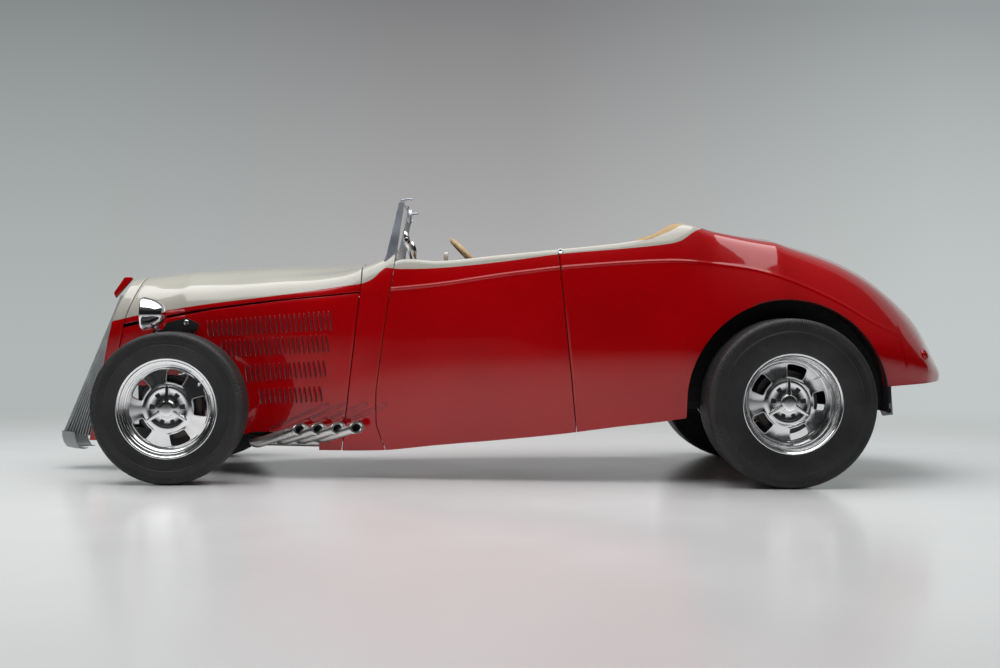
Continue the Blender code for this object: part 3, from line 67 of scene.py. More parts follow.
# Half sections: bay, z_low, y_low, y_side, z_rail, y_rail, z_crown
SECTIONS = (
    (-0.734, 0.150, 0.120, 0.145, 0.712, 0.165, 0.935),
    (-0.308, 0.145, 0.215, 0.235, 0.770, 0.255, 0.968),
    (0.040, 0.139, 0.300, 0.322, 0.824, 0.330, 1.003),
    (0.151, 0.135, 0.370, 0.400, 0.862, 0.395, 1.022),
    (0.261, 0.133, 0.435, 0.472, 0.905, 0.458, 1.032),
    (0.338, 0.139, 0.482, 0.525, 1.000, 0.500, 1.050),
    (0.369, 0.148, 0.505, 0.550, 1.043, 0.520, 1.076),
    (0.435, 0.171, 0.540, 0.592, 1.037, 0.560, 1.080),
    (0.533, 0.199, 0.585, 0.635, 1.065, 0.600, 1.105),
    (0.632, 0.230, 0.620, 0.665, 1.094, 0.622, 1.135),
    (0.729, 0.268, 0.645, 0.680, 1.124, 0.630, 1.165),
    (0.795, 0.291, 0.655, 0.686, 1.156, 0.620, 1.194),
    (0.844, 0.312, 0.660, 0.687, 1.180, 0.585, 1.214),
    (0.893, 0.332, 0.664, 0.689, 1.135, 0.560, 1.210),
    (1.000, 0.380, 0.664, 0.690, 1.080, 0.545, 1.178),
    (1.336, 0.440, 0.636, 0.662, 0.975, 0.505, 1.091),
    (1.564, 0.457, 0.595, 0.615, 0.860, 0.465, 0.991),
    (1.791, 0.467, 0.480, 0.490, 0.700, 0.375, 0.826),
    (1.907, 0.471, 0.345, 0.352, 0.600, 0.265, 0.694),
    (1.964, 0.472, 0.235, 0.240, 0.535, 0.185, 0.583),
    (1.992, 0.472, 0.120, 0.122, 0.490, 0.095, 0.508),
)
GRILLE_EDGE = ((-0.40, 1.10), (-0.445, 0.960), (-0.558, 0.745), (-0.734, 0.203), (-0.80, 0.0))
SHELL_EDGE = ((-0.318, 1.10), (-0.358, 0.960), (-0.462, 0.745), (-0.620, 0.203), (-0.68, 0.0))
HOOD_SIDE_EDGE = ((-0.75, 0.672), (-0.308, 0.744), (0.040, 0.806), (0.151, 0.847), (0.304, 0.890))
HOOD_REAR = ((0.3037, 1.20), (0.3037, 0.940), (0.2714, 0.136), (0.265, 0.0))
DOOR_FRONT = ((0.362, 1.20), (0.359, 1.020), (0.3416, 0.697), (0.329, 0.411), (0.3293, 0.266),
              (0.3441, 0.143), (0.36, 0.0))
DOOR_REAR = ((0.6241, 1.20), (0.6281, 1.093), (0.6598, 0.241), (0.669, 0.0))
# The cream paint's lower edge, and the raised belt line, as (x behind the front axle, height)
CREAM_EDGE = ((-0.60, 0.705), (-0.38, 0.744), (-0.21, 0.780), (-0.046, 0.805), (0.114, 0.830),
              (0.272, 0.850),
              (0.431, 0.869), (0.587, 0.889), (0.742, 0.913), (0.862, 0.929), (0.905, 0.944),
              (0.934, 0.965),
              (0.958, 0.990), (0.982, 1.004), (1.010, 1.002), (1.049, 0.998), (1.237, 1.003),
              (1.517, 1.031),
              (1.796, 1.069), (2.075, 1.094), (2.261, 1.114), (2.359, 1.135), (2.438, 1.185), (2.60, 1.24))
BELT_LINE = ((0.863, 0.889), (1.003, 0.903), (1.238, 0.927), (1.517, 0.969), (1.785, 1.003), (1.979, 1.020),
             (2.165, 1.033), (2.351, 1.039), (2.537, 1.026), (2.724, 1.000), (2.913, 0.941), (3.115, 0.849),
             (3.273, 0.760), (3.433, 0.694))


def along(bay):
    """World X of a place given by its bay number."""
    if bay < 0:
        return FRONT_AXLE + bay * FRONT_OVERHANG
    if bay > 1:
        return REAR_AXLE + (bay - 1) * REAR_OVERHANG
    return FRONT_AXLE + bay * WHEELBASE


def bay_at(x):
    """The bay number of a world X."""
    if x < FRONT_AXLE:
        return (x - FRONT_AXLE) / FRONT_OVERHANG
    if x > REAR_AXLE:
        return 1 + (x - REAR_AXLE) / REAR_OVERHANG
    return (x - FRONT_AXLE) / WHEELBASE


def smooth(points, at):
    """A smooth curve through (place, value) points, straight past its ends."""
    if at <= points[0][0]:
        return points[0][1]
    if at >= points[-1][0]:
        return points[-1][1]
    k = 0
    while at > points[k + 1][0]:
        k += 1

    def slope(n):
        low, high = max(n - 1, 0), min(n + 1, len(points) - 1)
        return (points[high][1] - points[low][1]) / (points[high][0] - points[low][0])

    (x0, a), (x1, b) = points[k], points[k + 1]
    span = x1 - x0
    t = (at - x0) / span
    da, db = slope(k) * span, slope(k + 1) * span
    return a + t * da + t * t * (3 * (b - a) - 2 * da - db) + t ** 3 * (2 * (a - b) + da + db)


def straight(points, at):
    """Straight lines through (place, value) points, with the end values kept outside."""
    if at <= points[0][0]:
        return points[0][1]
    for (x0, a), (x1, b) in zip(points, points[1:]):
        if at <= x1:
            return a + (b - a) * (at - x0) / (x1 - x0)
    return points[-1][1]


STATION = 0.004
FIRST_X = along(-1.0)
TABLE = []


def build_table():
    """Section values every few millimetres along the car."""
    columns = [[(row[0], row[c]) for row in SECTIONS] for c in range(1, 7)]
    count = int((along(2.0) - FIRST_X) / STATION) + 2
    for n in range(count):
        bay = bay_at(FIRST_X + n * STATION)
        TABLE.append([smooth(column, bay) for column in columns])


build_table()


def section(x):
    """Five (y, z) knots of the half section at world X, from the lower edge to the crown."""
    place = min(max((x - FIRST_X) / STATION, 0), len(TABLE) - 1.001)
    k = int(place)
    t = place - k
    values = [a + (b - a) * t for a, b in zip(TABLE[k], TABLE[k + 1])]
    z_low, y_low, y_side, z_rail, y_rail, z_crown = values
    return ((y_low, z_low), (y_side, z_low + 0.45 * (z_rail - z_low)), (y_rail, z_rail),
            (y_rail * 0.58, z_rail + 0.74 * (z_crown - z_rail)), (0.0, z_crown))


def skin(x, v):
    """A point of the body's surface: v is 0 at the left lower edge, 2 at the rail, 4 at the crown."""
    knots = section(x)
    side = -1
    if v > 4:
        v = 8 - v
        side = 1
    k = min(int(v), 3)
    t = v - k

    def knot(n):
        if n < 0:
            return (2 * knots[0][0] - knots[1][0], 2 * knots[0][1] - knots[1][1])
        if n > 4:
            return (-knots[3][0], knots[3][1])
        return knots[n]

    mix = (-0.5 * t + t * t - 0.5 * t ** 3, 1 - 2.5 * t * t + 1.5 * t ** 3,
           0.5 * t + 2 * t * t - 1.5 * t ** 3, -0.5 * t * t + 0.5 * t ** 3)
    near = [knot(k + d) for d in (-1, 0, 1, 2)]
    y = sum(w * q[0] for w, q in zip(mix, near))
    z = sum(w * q[1] for w, q in zip(mix, near))
    return Vector((x, side * y, z))


def normal_at(x, v):
    """The outward unit normal of the body's surface."""
    ahead = skin(x + 0.004, v) - skin(x - 0.004, v)
    up = skin(x, min(v + 0.02, 8)) - skin(x, max(v - 0.02, 0))
    return ahead.cross(up).normalized() * (1 if v <= 8 else -1)


def v_at(x, z, low=0.0, high=2.9):
    """Where the left side reaches a height."""
    for _ in range(20):
        middle = (low + high) / 2
        if skin(x, middle).z < z:
            low = middle
        else:
            high = middle
    return (low + high) / 2


def seam_x(line, shift=0.0):
    """World X of a side-view seam as a function of height."""
    points = [(z, along(bay) + shift) for bay, z in reversed(line)]
    return lambda z: straight(points, z)


def behind_axle(points):
    """World (x, z) of points given behind the front axle."""
    return [(FRONT_AXLE + x, z) for x, z in points]


CREAM = behind_axle(CREAM_EDGE)
BELT = behind_axle(BELT_LINE)
HOOD_SEAM = [(along(b), z) for b, z in HOOD_SIDE_EDGE]


def belt_lift(x, z):
    """How far the pressed belt line stands out of the body's side."""
    if x < BELT[0][0] - 0.01 or x > BELT[-1][0] + 0.05:
        return 0.0
    fade = min(1.0, max(0.0, (BELT[-1][0] + 0.02 - x) / 0.30))
    d = (z - smooth(BELT, x)) / 0.0065
    return 0.0035 * fade * math.exp(-d * d)


# Mesh helpers


def grid(across, up, place):
    """A bmesh grid whose vertex (i, j) is moved to place(i, j); returns it and each face's (i, j)."""
    shape = bmesh.new()
    bmesh.ops.create_grid(shape, x_segments=across, y_segments=up, size=0.5)
    cells = {}
    for face in shape.faces:
        middle = face.calc_center_median()
        cells[face] = (int((middle.x + 0.5) * across), int((middle.y + 0.5) * up))
    for vert in shape.verts:
        i = round((vert.co.x + 0.5) * across)
        j = round((vert.co.y + 0.5) * up)
        vert.co = place(i, j)
    return shape, cells


def sheet(lines):
    """A grid through lines of points; returns it and each face's (line, row)."""
    return grid(len(lines) - 1, len(lines[0]) - 1, lambda i, j: lines[i][j])


def finished(shape, name, finishes, replaces=(), angle=40, body='body'):
    """An object from a bmesh, smooth shaded, riding on its body, with one finish or several."""
    mesh = bpy.data.meshes.new(name)
    shape.to_mesh(mesh)
    shape.free()
    made = bpy.data.objects.new(name, mesh)
    bpy.context.scene.collection.objects.link(made)
    for finish in finishes.split():
        mesh.materials.append(FINISH[finish])
    mesh.shade_smooth()
    mesh.set_sharp_from_angle(angle=math.radians(angle))
    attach(made, body)
    if replaces:
        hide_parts(*replaces)
    return made


def closed(shape, *details, **more):
    """A finished object, with every face turned outward first."""
    bmesh.ops.recalc_face_normals(shape, faces=shape.faces)
    return finished(shape, *details, **more)


def merge(whole, part):
    """Move all of one bmesh into another."""
    mesh = bpy.data.meshes.new('part')
    part.to_mesh(mesh)
    part.free()
    whole.from_mesh(mesh)
    bpy.data.meshes.remove(mesh)


def facing(point, heading):
    """The matrix that sets a flat circle at a point, square to a heading."""
    return Matrix.Translation(point) @ heading.to_track_quat('Z', 'Y').to_matrix().to_4x4()


def soften(shape, edges, offset, segments):
    """Turn a bmesh's faces outward and round some of its edges."""
    bmesh.ops.recalc_face_normals(shape, faces=shape.faces)
    bmesh.ops.bevel(shape, geom=edges, offset=offset, segments=segments, profile=0.5, affect='EDGES',
                    material=-1)


def fuse(shape, gap):
    """Join vertices that lie closer than a gap."""
    bmesh.ops.remove_doubles(shape, verts=shape.verts, dist=gap)


def plate(shape, points, depth):
    """A flat plate added to a bmesh: an outline pushed out by the vector depth."""
    face = shape.faces.new([shape.verts.new(p) for p in points])
    result = bmesh.ops.extrude_face_region(shape, geom=[face])
    moved = [v for v in result['geom'] if isinstance(v, bmesh.types.BMVert)]
    bmesh.ops.translate(shape, verts=moved, vec=depth)


def flip_to(shape, outward):
    """Turn all faces so that the largest one's normal points along outward."""
    shape.normal_update()
    face = max(shape.faces, key=lambda f: f.calc_area())
    if face.normal.dot(outward) < 0:
        bmesh.ops.reverse_faces(shape, faces=shape.faces)


def mirrored(shape):
    """A copy of a bmesh on the other side of the car."""
    copy = shape.copy()
    bmesh.ops.scale(copy, vec=(1, -1, 1), verts=copy.verts)
    bmesh.ops.reverse_faces(copy, faces=copy.faces)
    return copy


def wall(made, thickness, bevel=0.0, offset=-1.0):
    """Give a sheet its thickness, and soft edges if asked."""
    solid = made.modifiers.new('wall', 'SOLIDIFY')
    solid.thickness = thickness
    solid.offset = offset
    if bevel:
        edge = made.modifiers.new('edge', 'BEVEL')
        edge.width = bevel
        edge.segments = 2
        edge.limit_method = 'ANGLE'
        edge.angle_limit = math.radians(50)
    return made


def bar(shape, path, radius, sides=12, caps=True, radii=None):
    """A round bar along a path, added to a bmesh by bridging circles."""
    points = [Vector(p) for p in path]
    first = before = None
    for k, point in enumerate(points):
        heading = (points[min(k + 1, len(points) - 1)] - points[max(k - 1, 0)]).normalized()
        size = radii[k] if radii else radius
        ring = bmesh.ops.create_circle(shape, segments=sides, radius=size, matrix=facing(point, heading))
        edges = list({e for v in ring['verts'] for e in v.link_edges})
        if before:
            bmesh.ops.bridge_loops(shape, edges=before + edges)
        else:
            first = edges
        before = edges
    if caps:
        bmesh.ops.contextual_create(shape, geom=first)
        bmesh.ops.contextual_create(shape, geom=before)
    return shape


def revolve(shape, profile, centre, axis, steps=48, closed=False):
    """A line of (along, radius) points spun round an axis through centre."""
    axis = Vector(axis).normalized()
    out = axis.orthogonal().normalized()
    if abs(axis.z) < 0.9:
        out = Vector((0, 0, 1)) - axis * axis.z
        out.normalize()
    verts = [shape.verts.new(Vector(centre) + axis * a + out * r) for a, r in profile]
    edges = [shape.edges.new(pair) for pair in zip(verts, verts[1:])]
    if closed:
        edges.append(shape.edges.new((verts[-1], verts[0])))
    result = bmesh.ops.spin(shape, geom=verts + edges, cent=centre, axis=axis, angle=2 * math.pi,
                            steps=steps, use_merge=True)
    fuse(shape, 1e-5)
    return result


def spaced(values, counts):
    """The given values with counts steps of even size between each pair."""
    line = [values[0]]
    for a, b, n in zip(values, values[1:], counts):
        line += [a + (b - a) * (k + 1) / n for k in range(n)]
    return line


def ruled(stations, rails, counts, front, rear, lift=belt_lift):
    """place(i, j) of a side panel between two seams.

    rails are functions of the station that give ('z', height) or ('v', value).
    """
    x0, x1 = stations[0], stations[-1]
    columns = []
    for s in stations:
        t = (s - x0) / (x1 - x0)

        def x_of(z, s=s, t=t):
            return s + (front(z) - x0) * (1 - t) + (rear(z) - x1) * t

        values = []
        for rail in rails:
            kind, value = rail(s)
            if kind == 'z':
                value = v_at(x_of(value), value)
            values.append(value)
        column = []
        for v in spaced(values, counts):
            x = s
            for _ in range(4):
                x = x_of(skin(x, v).z)
            point = skin(x, v)
            rise = lift(x, point.z) if lift and v < 2.2 else 0.0
            if rise:
                point = point + normal_at(x, v) * rise
            column.append((point, x, v))
        columns.append(column)
    return columns


def evenly(first, last, step):
    """Places from first to last, about a step apart."""
    count = max(1, round((last - first) / step))
    return [first + (last - first) * k / count for k in range(count + 1)]


# Material helpers


class Wire:
    """A socket in a material's node tree, which joins to others by plain arithmetic."""

    def __init__(self, tree, socket):
        self.tree = tree
        self.socket = socket

    def put(self, kind, settings=None, values=None, output=0):
        """Add a node: its settings first, then the values or links of its sockets."""
        node = self.tree.nodes.new(kind)
        for name, value in (settings or {}).items():
            setattr(node, name, value)
        for name, value in (values or {}).items():
            if isinstance(value, Wire):
                self.tree.links.new(value.socket, node.inputs[name])
            else:
                node.inputs[name].default_value = value
        return Wire(self.tree, node.outputs[output])

    def math(self, operation, first, second=0.0):
        return self.put('ShaderNodeMath', {'operation': operation}, {0: first, 1: second})

    def __add__(self, other):
        return self.math('ADD', self, other)

    def __radd__(self, other):
        return self.math('ADD', other, self)

    def __sub__(self, other):
        return self.math('SUBTRACT', self, other)

    def __rsub__(self, other):
        return self.math('SUBTRACT', other, self)

    def __mul__(self, other):
        return self.math('MULTIPLY', self, other)

    def __rmul__(self, other):
        return self.math('MULTIPLY', other, self)

    def __truediv__(self, other):
        return self.math('DIVIDE', self, other)

    def __rtruediv__(self, other):
        return self.math('DIVIDE', other, self)

    def __pow__(self, other):
        return self.math('POWER', self, other)

    def span(self, low, high, to_low=0.0, to_high=1.0):
        """This value between low and high, spread over another range and kept inside it."""
        return self.put('ShaderNodeMapRange', {'clamp': True},
                        {'Value': self, 'From Min': low, 'From Max': high, 'To Min': to_low,
                         'To Max': to_high})

    def blend(self, first, second):
        """The first colour where this value is 0, the second where it is 1."""
        return self.put('ShaderNodeMix', {'data_type': 'RGBA'}, {0: self, 6: first, 7: second}, 2)

    def noise(self, scale, detail=2.0, rough=0.5):
        return self.put('ShaderNodeTexNoise', None,
                        {'Vector': self, 'Scale': scale, 'Detail': detail, 'Roughness': rough})

    def cells(self, scale, output=0, feature='F1'):
        return self.put('ShaderNodeTexVoronoi', {'feature': feature}, {'Vector': self, 'Scale': scale},
                        output)

    def split(self, axis):
        return self.put('ShaderNodeSeparateXYZ', None, {0: self}, axis)

    def stretched(self, x, y, z):
        return self.put('ShaderNodeVectorMath', {'operation': 'MULTIPLY'}, {0: self, 1: (x, y, z)})

    def moved(self, x, y, z):
        return self.put('ShaderNodeVectorMath', {'operation': 'ADD'}, {0: self, 1: (x, y, z)})

    def bump(self, distance, strength=1.0, before=None):
        values = {'Height': self, 'Distance': distance, 'Strength': strength}
        if before:
            values['Normal'] = before
        return self.put('ShaderNodeBump', None, values)


def material(name, **constants):
    """A new material: the material, its shader and the Object coordinates."""
    made = bpy.data.materials.new(name)
    made.use_nodes = True
    shader = made.node_tree.nodes['Principled BSDF']
    for key, value in constants.items():
        shader.inputs[key.replace('_', ' ')].default_value = value
    place = Wire(made.node_tree, made.node_tree.nodes.new('ShaderNodeTexCoord').outputs['Object'])
    return made, shader, place


def feed(shader, name, wire):
    """Link a wire to a named socket of the shader."""
    wire.tree.links.new(wire.socket, shader.inputs[name])


def shade(colour, factor):
    """A colour made lighter or darker, with its alpha."""
    return (min(colour[0] * factor, 1), min(colour[1] * factor, 1), min(colour[2] * factor, 1), 1)


FLUTES = ((0.703, 0.350, 0.30), (0.787, 0.354, 0.17), (0.884, 0.357, 0.17), (0.981, 0.357, 0.17))
FLUTE_ANGLE = math.radians(24.5)
# Pale pink of the painted highlight along the flutes' edges
FLUTE_HIGHLIGHT = (0.50, 0.075, 0.10)


def flute_depth(place):
    """The depth of the slanted flutes over the side pipes, 1 along their middles."""
    c, s = math.cos(FLUTE_ANGLE), math.sin(FLUTE_ANGLE)
    whole = None
    for x, z, length in FLUTES:
        local = place.moved(-FRONT_AXLE - x, 0, -z)
        ahead = local.split(0) * -c + local.split(2) * -s
        aside = local.split(2) * c - local.split(0) * s
        past = ahead.math('MINIMUM', ahead, 0.0) + ahead.math('MAXIMUM', ahead - length, 0.0)
        depth = (1.0 - (aside * aside + past * past) / 0.00020).span(0.0, 1.0)
        whole = depth if whole is None else whole.math('MAXIMUM', whole, depth)
    return whole


def paint_finish(name, colour, second=None, trim=None):
    """Deep gloss paint under clear coat; with a second colour above the two-tone line, and a painted pale
    pink highlight along the flutes' edges.
    """
    made, shader, place = material(name, Coat_Weight=1.0, Coat_Roughness=0.03, Specular_IOR_Level=0.12)
    tint = place.noise(2.2, 3).span(0.35, 0.65)
    base = tint.blend(shade(colour, 0.93), shade(colour, 1.05))
    if second:
        upper = place.noise(3.0, 2).span(0.3, 0.7).blend(shade(second, 0.96), shade(second, 1.03))
        edge = place.put('ShaderNodeAttribute', {'attribute_name': 'above_tone_line'}, None, 2)
        share = edge.span(-0.0006, 0.0006)
        base = share.blend(base, upper)
    rough = place.noise(38, 3).span(0.3, 0.7, 0.16, 0.24)
    if trim:
        soft = place.put('ShaderNodeAttribute', {'attribute_name': 'above_trim_line'}, None,
                         2).span(-0.0006, 0.0006)
        hide = place.noise(7, 4).span(0.3, 0.7).blend(shade(trim, 0.80), shade(trim, 1.12))
        base = soft.blend(base, hide)
        rough = rough + soft * 0.30
        feed(shader, 'Coat Weight', 1.0 - soft)
    groove = flute_depth(place)
    # Painted highlight: a pale pink band along each flute's rim stands in for light caught there
    rim_light = (groove * (1.0 - groove) * 4.0).span(0.35, 0.9, 0.0, 0.55)
    base = rim_light.blend(base, shade(FLUTE_HIGHLIGHT, 1.0))
    feed(shader, 'Base Color', base)
    feed(shader, 'Roughness', rough)
    fine = place.noise(230, 2).bump(0.00002, 0.25)
    feed(shader, 'Normal', (1.0 - groove).bump(0.016, 1.0, fine))
    return made


def metal_finish(name, colour, low, high, grain=0.0):
    """Bare polished or plated metal; grain adds fine turned lines."""
    made, shader, place = material(name, Metallic=1.0)
    wear = place.noise(26, 4).span(0.3, 0.75)
    feed(shader, 'Base Color', wear.blend(shade(colour, 1.0), shade(colour, 0.93)))
    feed(shader, 'Roughness', place.noise(9, 2).span(0.3, 0.7, low, high))
    height = place.noise(14, 2) * 0.4
    if grain:
        height = height + place.stretched(1, 6, 1).noise(20, 2) * grain
    feed(shader, 'Normal', height.bump(0.00001, 0.15))
    return made


def satin_finish(name, colour, rough=0.35):
    """Sprayed black or cast metal with a fine texture and lighter dust in random patches."""
    made, shader, place = material(name)
    dust = place.noise(14, 4).span(0.45, 0.8, 0.0, 0.35)
    feed(shader, 'Base Color', dust.blend(shade(colour, 1.0), shade(colour, 1.9)))
    feed(shader, 'Roughness', place.noise(45, 3).span(0.3, 0.7, rough, rough + 0.15))
    feed(shader, 'Normal', place.noise(700, 2).bump(0.0002, 0.3))
    return made


def rubber_finish(name, centre, radius):
    """Tyre rubber: a ribbed shoulder band, a soft ring and a bloom on the side wall."""
    made, shader, place = material(name)
    local = place.moved(-centre.x, -centre.y, -centre.z)
    x, z = local.split(0), local.split(2)
    reach = (x * x + z * z) ** 0.5
    angle = z.math('ARCTAN2', z, x)
    ribs = angle.math('SINE', angle * 230.0).span(-0.5, 0.5)
    band = reach.span(radius - 0.034, radius - 0.030)
    ring = (1.0 - ((reach - (radius - 0.062)) / 0.004) ** 2.0).span(0.0, 1.0)
    bloom = place.noise(9, 4).span(0.35, 0.75)
    feed(shader, 'Base Color', bloom.blend((0.010, 0.010, 0.011, 1), (0.022, 0.022, 0.023, 1)))
    feed(shader, 'Roughness', place.noise(60, 3).span(0.3, 0.7, 0.46, 0.62))
    height = ribs * band * 0.55 + ring * 0.9 + place.noise(900, 2) * 0.06
    feed(shader, 'Normal', height.bump(0.0022, 0.9))
    return made


def leather_finish(name, colour):
    """Tan leather with pores, creases and wear."""
    made, shader, place = material(name)
    tone = place.noise(7, 4).span(0.3, 0.7)
    base = tone.blend(shade(colour, 0.80), shade(colour, 1.12))
    pores = place.cells(420, 0)
    creases = place.cells(70, 0, 'DISTANCE_TO_EDGE').span(0.0, 0.06)
    feed(shader, 'Base Color', (pores.span(0.0, 0.5, 0.55, 0.0)).blend(base, shade(colour, 0.55)))
    feed(shader, 'Roughness', place.noise(50, 3).span(0.3, 0.7, 0.42, 0.58))
    feed(shader, 'Normal', (pores * 0.5 + creases * 0.3).bump(0.0006, 0.5))
    shader.inputs['Sheen Weight'].default_value = 0.15
    return made


def carpet_finish(name, colour):
    """Short woven tufts."""
    made, shader, place = material(name)
    tufts = place.noise(520, 3, 0.7)
    feed(shader, 'Base Color', tufts.span(0.3, 0.7).blend(shade(colour, 0.5), shade(colour, 1.5)))
    feed(shader, 'Roughness', place.noise(20).span(0.3, 0.7, 0.85, 0.98))
    feed(shader, 'Normal', tufts.bump(0.003, 0.8))
    return made


def lens_finish(name, colour, rough=0.05):
    """A moulded glass or plastic lens, a see-through skin over what lies behind."""
    made, shader, place = material(name, Transmission_Weight=0.55, IOR=1.45)
    flutes = place.split(1).math('SINE', place.split(1) * 900.0)
    clean = place.noise(40).span(0.3, 0.7)
    feed(shader, 'Base Color', clean.blend(shade(colour, 0.9), shade(colour, 1.05)))
    feed(shader, 'Roughness', place.noise(80).span(0.3, 0.7, rough, rough + 0.05))
    feed(shader, 'Normal', flutes.bump(0.0005, 0.4))
    return made


def glass_finish(name):
    """Clear flat glass, a thin pane that lets light straight through."""
    made, shader, place = material(name, Base_Color=(0.9, 0.95, 0.94, 1))
    feed(shader, 'Roughness', place.noise(6, 3).span(0.4, 0.8, 0.02, 0.06))
    feed(shader, 'Alpha', place.noise(5, 4).span(0.3, 0.8, 0.10, 0.16))
    return made


def dial_finish(name, face, ink):
    """Pale instrument faces under glass, with a little grime."""
    made, shader, place = material(name, Roughness=0.25, Coat_Weight=1.0, Coat_Roughness=0.03)
    grime = place.noise(120, 2).span(0.3, 0.7)
    feed(shader, 'Base Color', grime.blend(shade(face, 0.95), shade(ink, 1.0)))
    return made


FINISH = {}


def make_finishes(paint):
    red, cream, tan = paint.body_red, paint.band_cream, paint.leather_tan
    FINISH['red'] = paint_finish('red_paint_finish', red)
    FINISH['two_tone'] = paint_finish('two_tone_paint_finish', red, cream, tan)
    FINISH['cream'] = paint_finish('cream_paint_finish', cream)
    FINISH['polished'] = metal_finish('polished_alloy_finish', (0.84, 0.845, 0.85), 0.15, 0.19, 0.1)
    FINISH['border'] = metal_finish('window_border_finish', (0.93, 0.93, 0.94), 0.36, 0.44)
    FINISH['chrome'] = metal_finish('chrome_finish', (0.88, 0.88, 0.89), 0.04, 0.09)
    FINISH['satin_metal'] = metal_finish('satin_pipe_finish', (0.72, 0.71, 0.70), 0.25, 0.38, 0.2)
    FINISH['cast'] = metal_finish('cast_metal_finish', (0.40, 0.40, 0.41), 0.42, 0.60, 0.0)
    FINISH['black'] = satin_finish('black_enamel_finish', (0.016, 0.016, 0.018))
    # Painted shade: near-black satin for the seam cords, the sheet behind the grille and the plate holes;
    # the pipe bores and wheel tubs also have real black
    FINISH['dark'] = satin_finish('painted_shade_finish', (0.008, 0.008, 0.009), 0.7)
    FINISH['leather'] = leather_finish('tan_leather_finish', tan)
    FINISH['carpet'] = carpet_finish('floor_carpet_finish', (0.10, 0.055, 0.03))
    FINISH['lens'] = lens_finish('headlamp_lens_finish', (0.92, 0.95, 0.96))
    FINISH['red_lens'] = lens_finish('tail_lens_finish', (0.55, 0.01, 0.01), 0.08)
    FINISH['glass'] = glass_finish('windshield_glass_finish')
    FINISH['dial'] = dial_finish('dial_face_finish', (0.86, 0.84, 0.78), (0.80, 0.78, 0.72))
    # Painted shade: dark metal for the plates standing in for the wheels' recessed pockets
    FINISH['pocket'] = metal_finish('wheel_pocket_shade_finish', (0.055, 0.060, 0.065), 0.30, 0.45, 0.1)
    FINISH['drum'] = metal_finish('brake_drum_finish', (0.10, 0.095, 0.09), 0.40, 0.60, 0.1)
    FINISH['nose_metal'] = satin_finish('grille_metal_finish', (0.30, 0.32, 0.325), 0.38)
    FINISH['blade'] = metal_finish('windshield_post_finish', (0.62, 0.66, 0.74), 0.38, 0.50, 0.1)
    FINISH['knob'] = paint_finish('white_knob_finish', (0.82, 0.80, 0.76))


TRIM_LINE = ((2.10, 1.170), (2.142, 1.136), (2.207, 1.139), (2.272, 1.164), (2.337, 1.193), (2.361, 1.208),
             (2.385, 1.224), (2.45, 1.27))


def tone(shape):
    """Store each vertex's height over the two-tone line and the leather's line, for the paint."""
    layer = shape.verts.layers.float.new('above_tone_line')
    trim = shape.verts.layers.float.new('above_trim_line')
    for vert in shape.verts:
        x = vert.co.x - FRONT_AXLE
        vert[layer] = vert.co.z - smooth(CREAM, vert.co.x)
        vert[trim] = vert.co.z - smooth(TRIM_LINE, x) if 2.12 < x < 2.42 else -1.0


# Body panels


def flanged(line, width, share=0.35, drop=0.0018):
    """A column of points with a rolled lower edge before it."""
    inward = Vector((0, width, 0.004))
    return [line[0] + inward, line[0] + inward * share + Vector((0, 0, -drop))] + line


def columns_to_mesh(columns, flange=0.0):
    """A bmesh from columns of (point, x, v), with a rolled lower edge if asked."""
    lines = [[entry[0] for entry in column] for column in columns]
    if flange:
        lines = [flanged(line, flange) for line in lines]
    return sheet(lines)[0]


def both_sides(shape):
    """Mirror a left half over to the right, joined on the centre line."""
    for vert in shape.verts:
        if abs(vert.co.y) < 0.0004:
            vert.co.y = 0
    bmesh.ops.mirror(shape, geom=shape.verts[:] + shape.edges[:] + shape.faces[:], matrix=Matrix(),
                     merge_dist=0.0005, axis='Y')
    fuse(shape, 0.0004)
    bmesh.ops.recalc_face_normals(shape, faces=shape.faces)
    face = max(shape.faces, key=lambda f: f.calc_center_median().z)
    if face.normal.z < 0:
        bmesh.ops.reverse_faces(shape, faces=shape.faces)
    return shape


V_EDGE = 1.955
# Rails of the panels over the whole body, and of those with the belt line pressed in
WHOLE_RAILS = (lambda s: ('v', 0.0), lambda s: ('v', 1.0), lambda s: ('v', 2.0), lambda s: ('v', 4.0))
BELT_RAILS = (lambda s: ('v', 0.0), lambda s: ('z', belt_at(s) - 0.016),
              lambda s: ('z', belt_at(s) + 0.016), lambda s: ('v', V_EDGE))
BELT_COUNTS = (20, 10, 5)


def build_shell_panel():
    """The painted surround of the grille."""
    front, rear = seam_x(GRILLE_EDGE), seam_x(SHELL_EDGE, -SEAM / 2)
    x0, x1 = along(-0.56), along(-0.46)
    stations = evenly(x0, x1, 0.011)
    columns = ruled(stations, WHOLE_RAILS, (10, 10, 16), front, rear, None)
    shape = both_sides(columns_to_mesh(columns))
    tone(shape)
    made = finished(shape, 'nose_surround', 'two_tone', ['grille_shell'])
    return wall(made, 0.010, 0.0018)


def build_hood_top():
    """The lifting top of the hood, cream over a red edge."""
    front, rear = seam_x(SHELL_EDGE, SEAM / 2 + 0.001), seam_x(HOOD_REAR, -SEAM / 2)
    stations = evenly(along(-0.40), along(0.3037), 0.018)
    rails = (lambda s: ('z', straight(HOOD_SEAM, s) + SEAM * 0.32), lambda s: ('v', 2.35),
             lambda s: ('v', 4.0))
    columns = ruled(stations, rails, (8, 14), front, rear, None)
    shape = both_sides(columns_to_mesh(columns))
    tone(shape)
    made = finished(shape, 'hood_top_panel', 'two_tone', ['hood_top'], body='hood_top')
    return wall(made, 0.004, 0.0012)


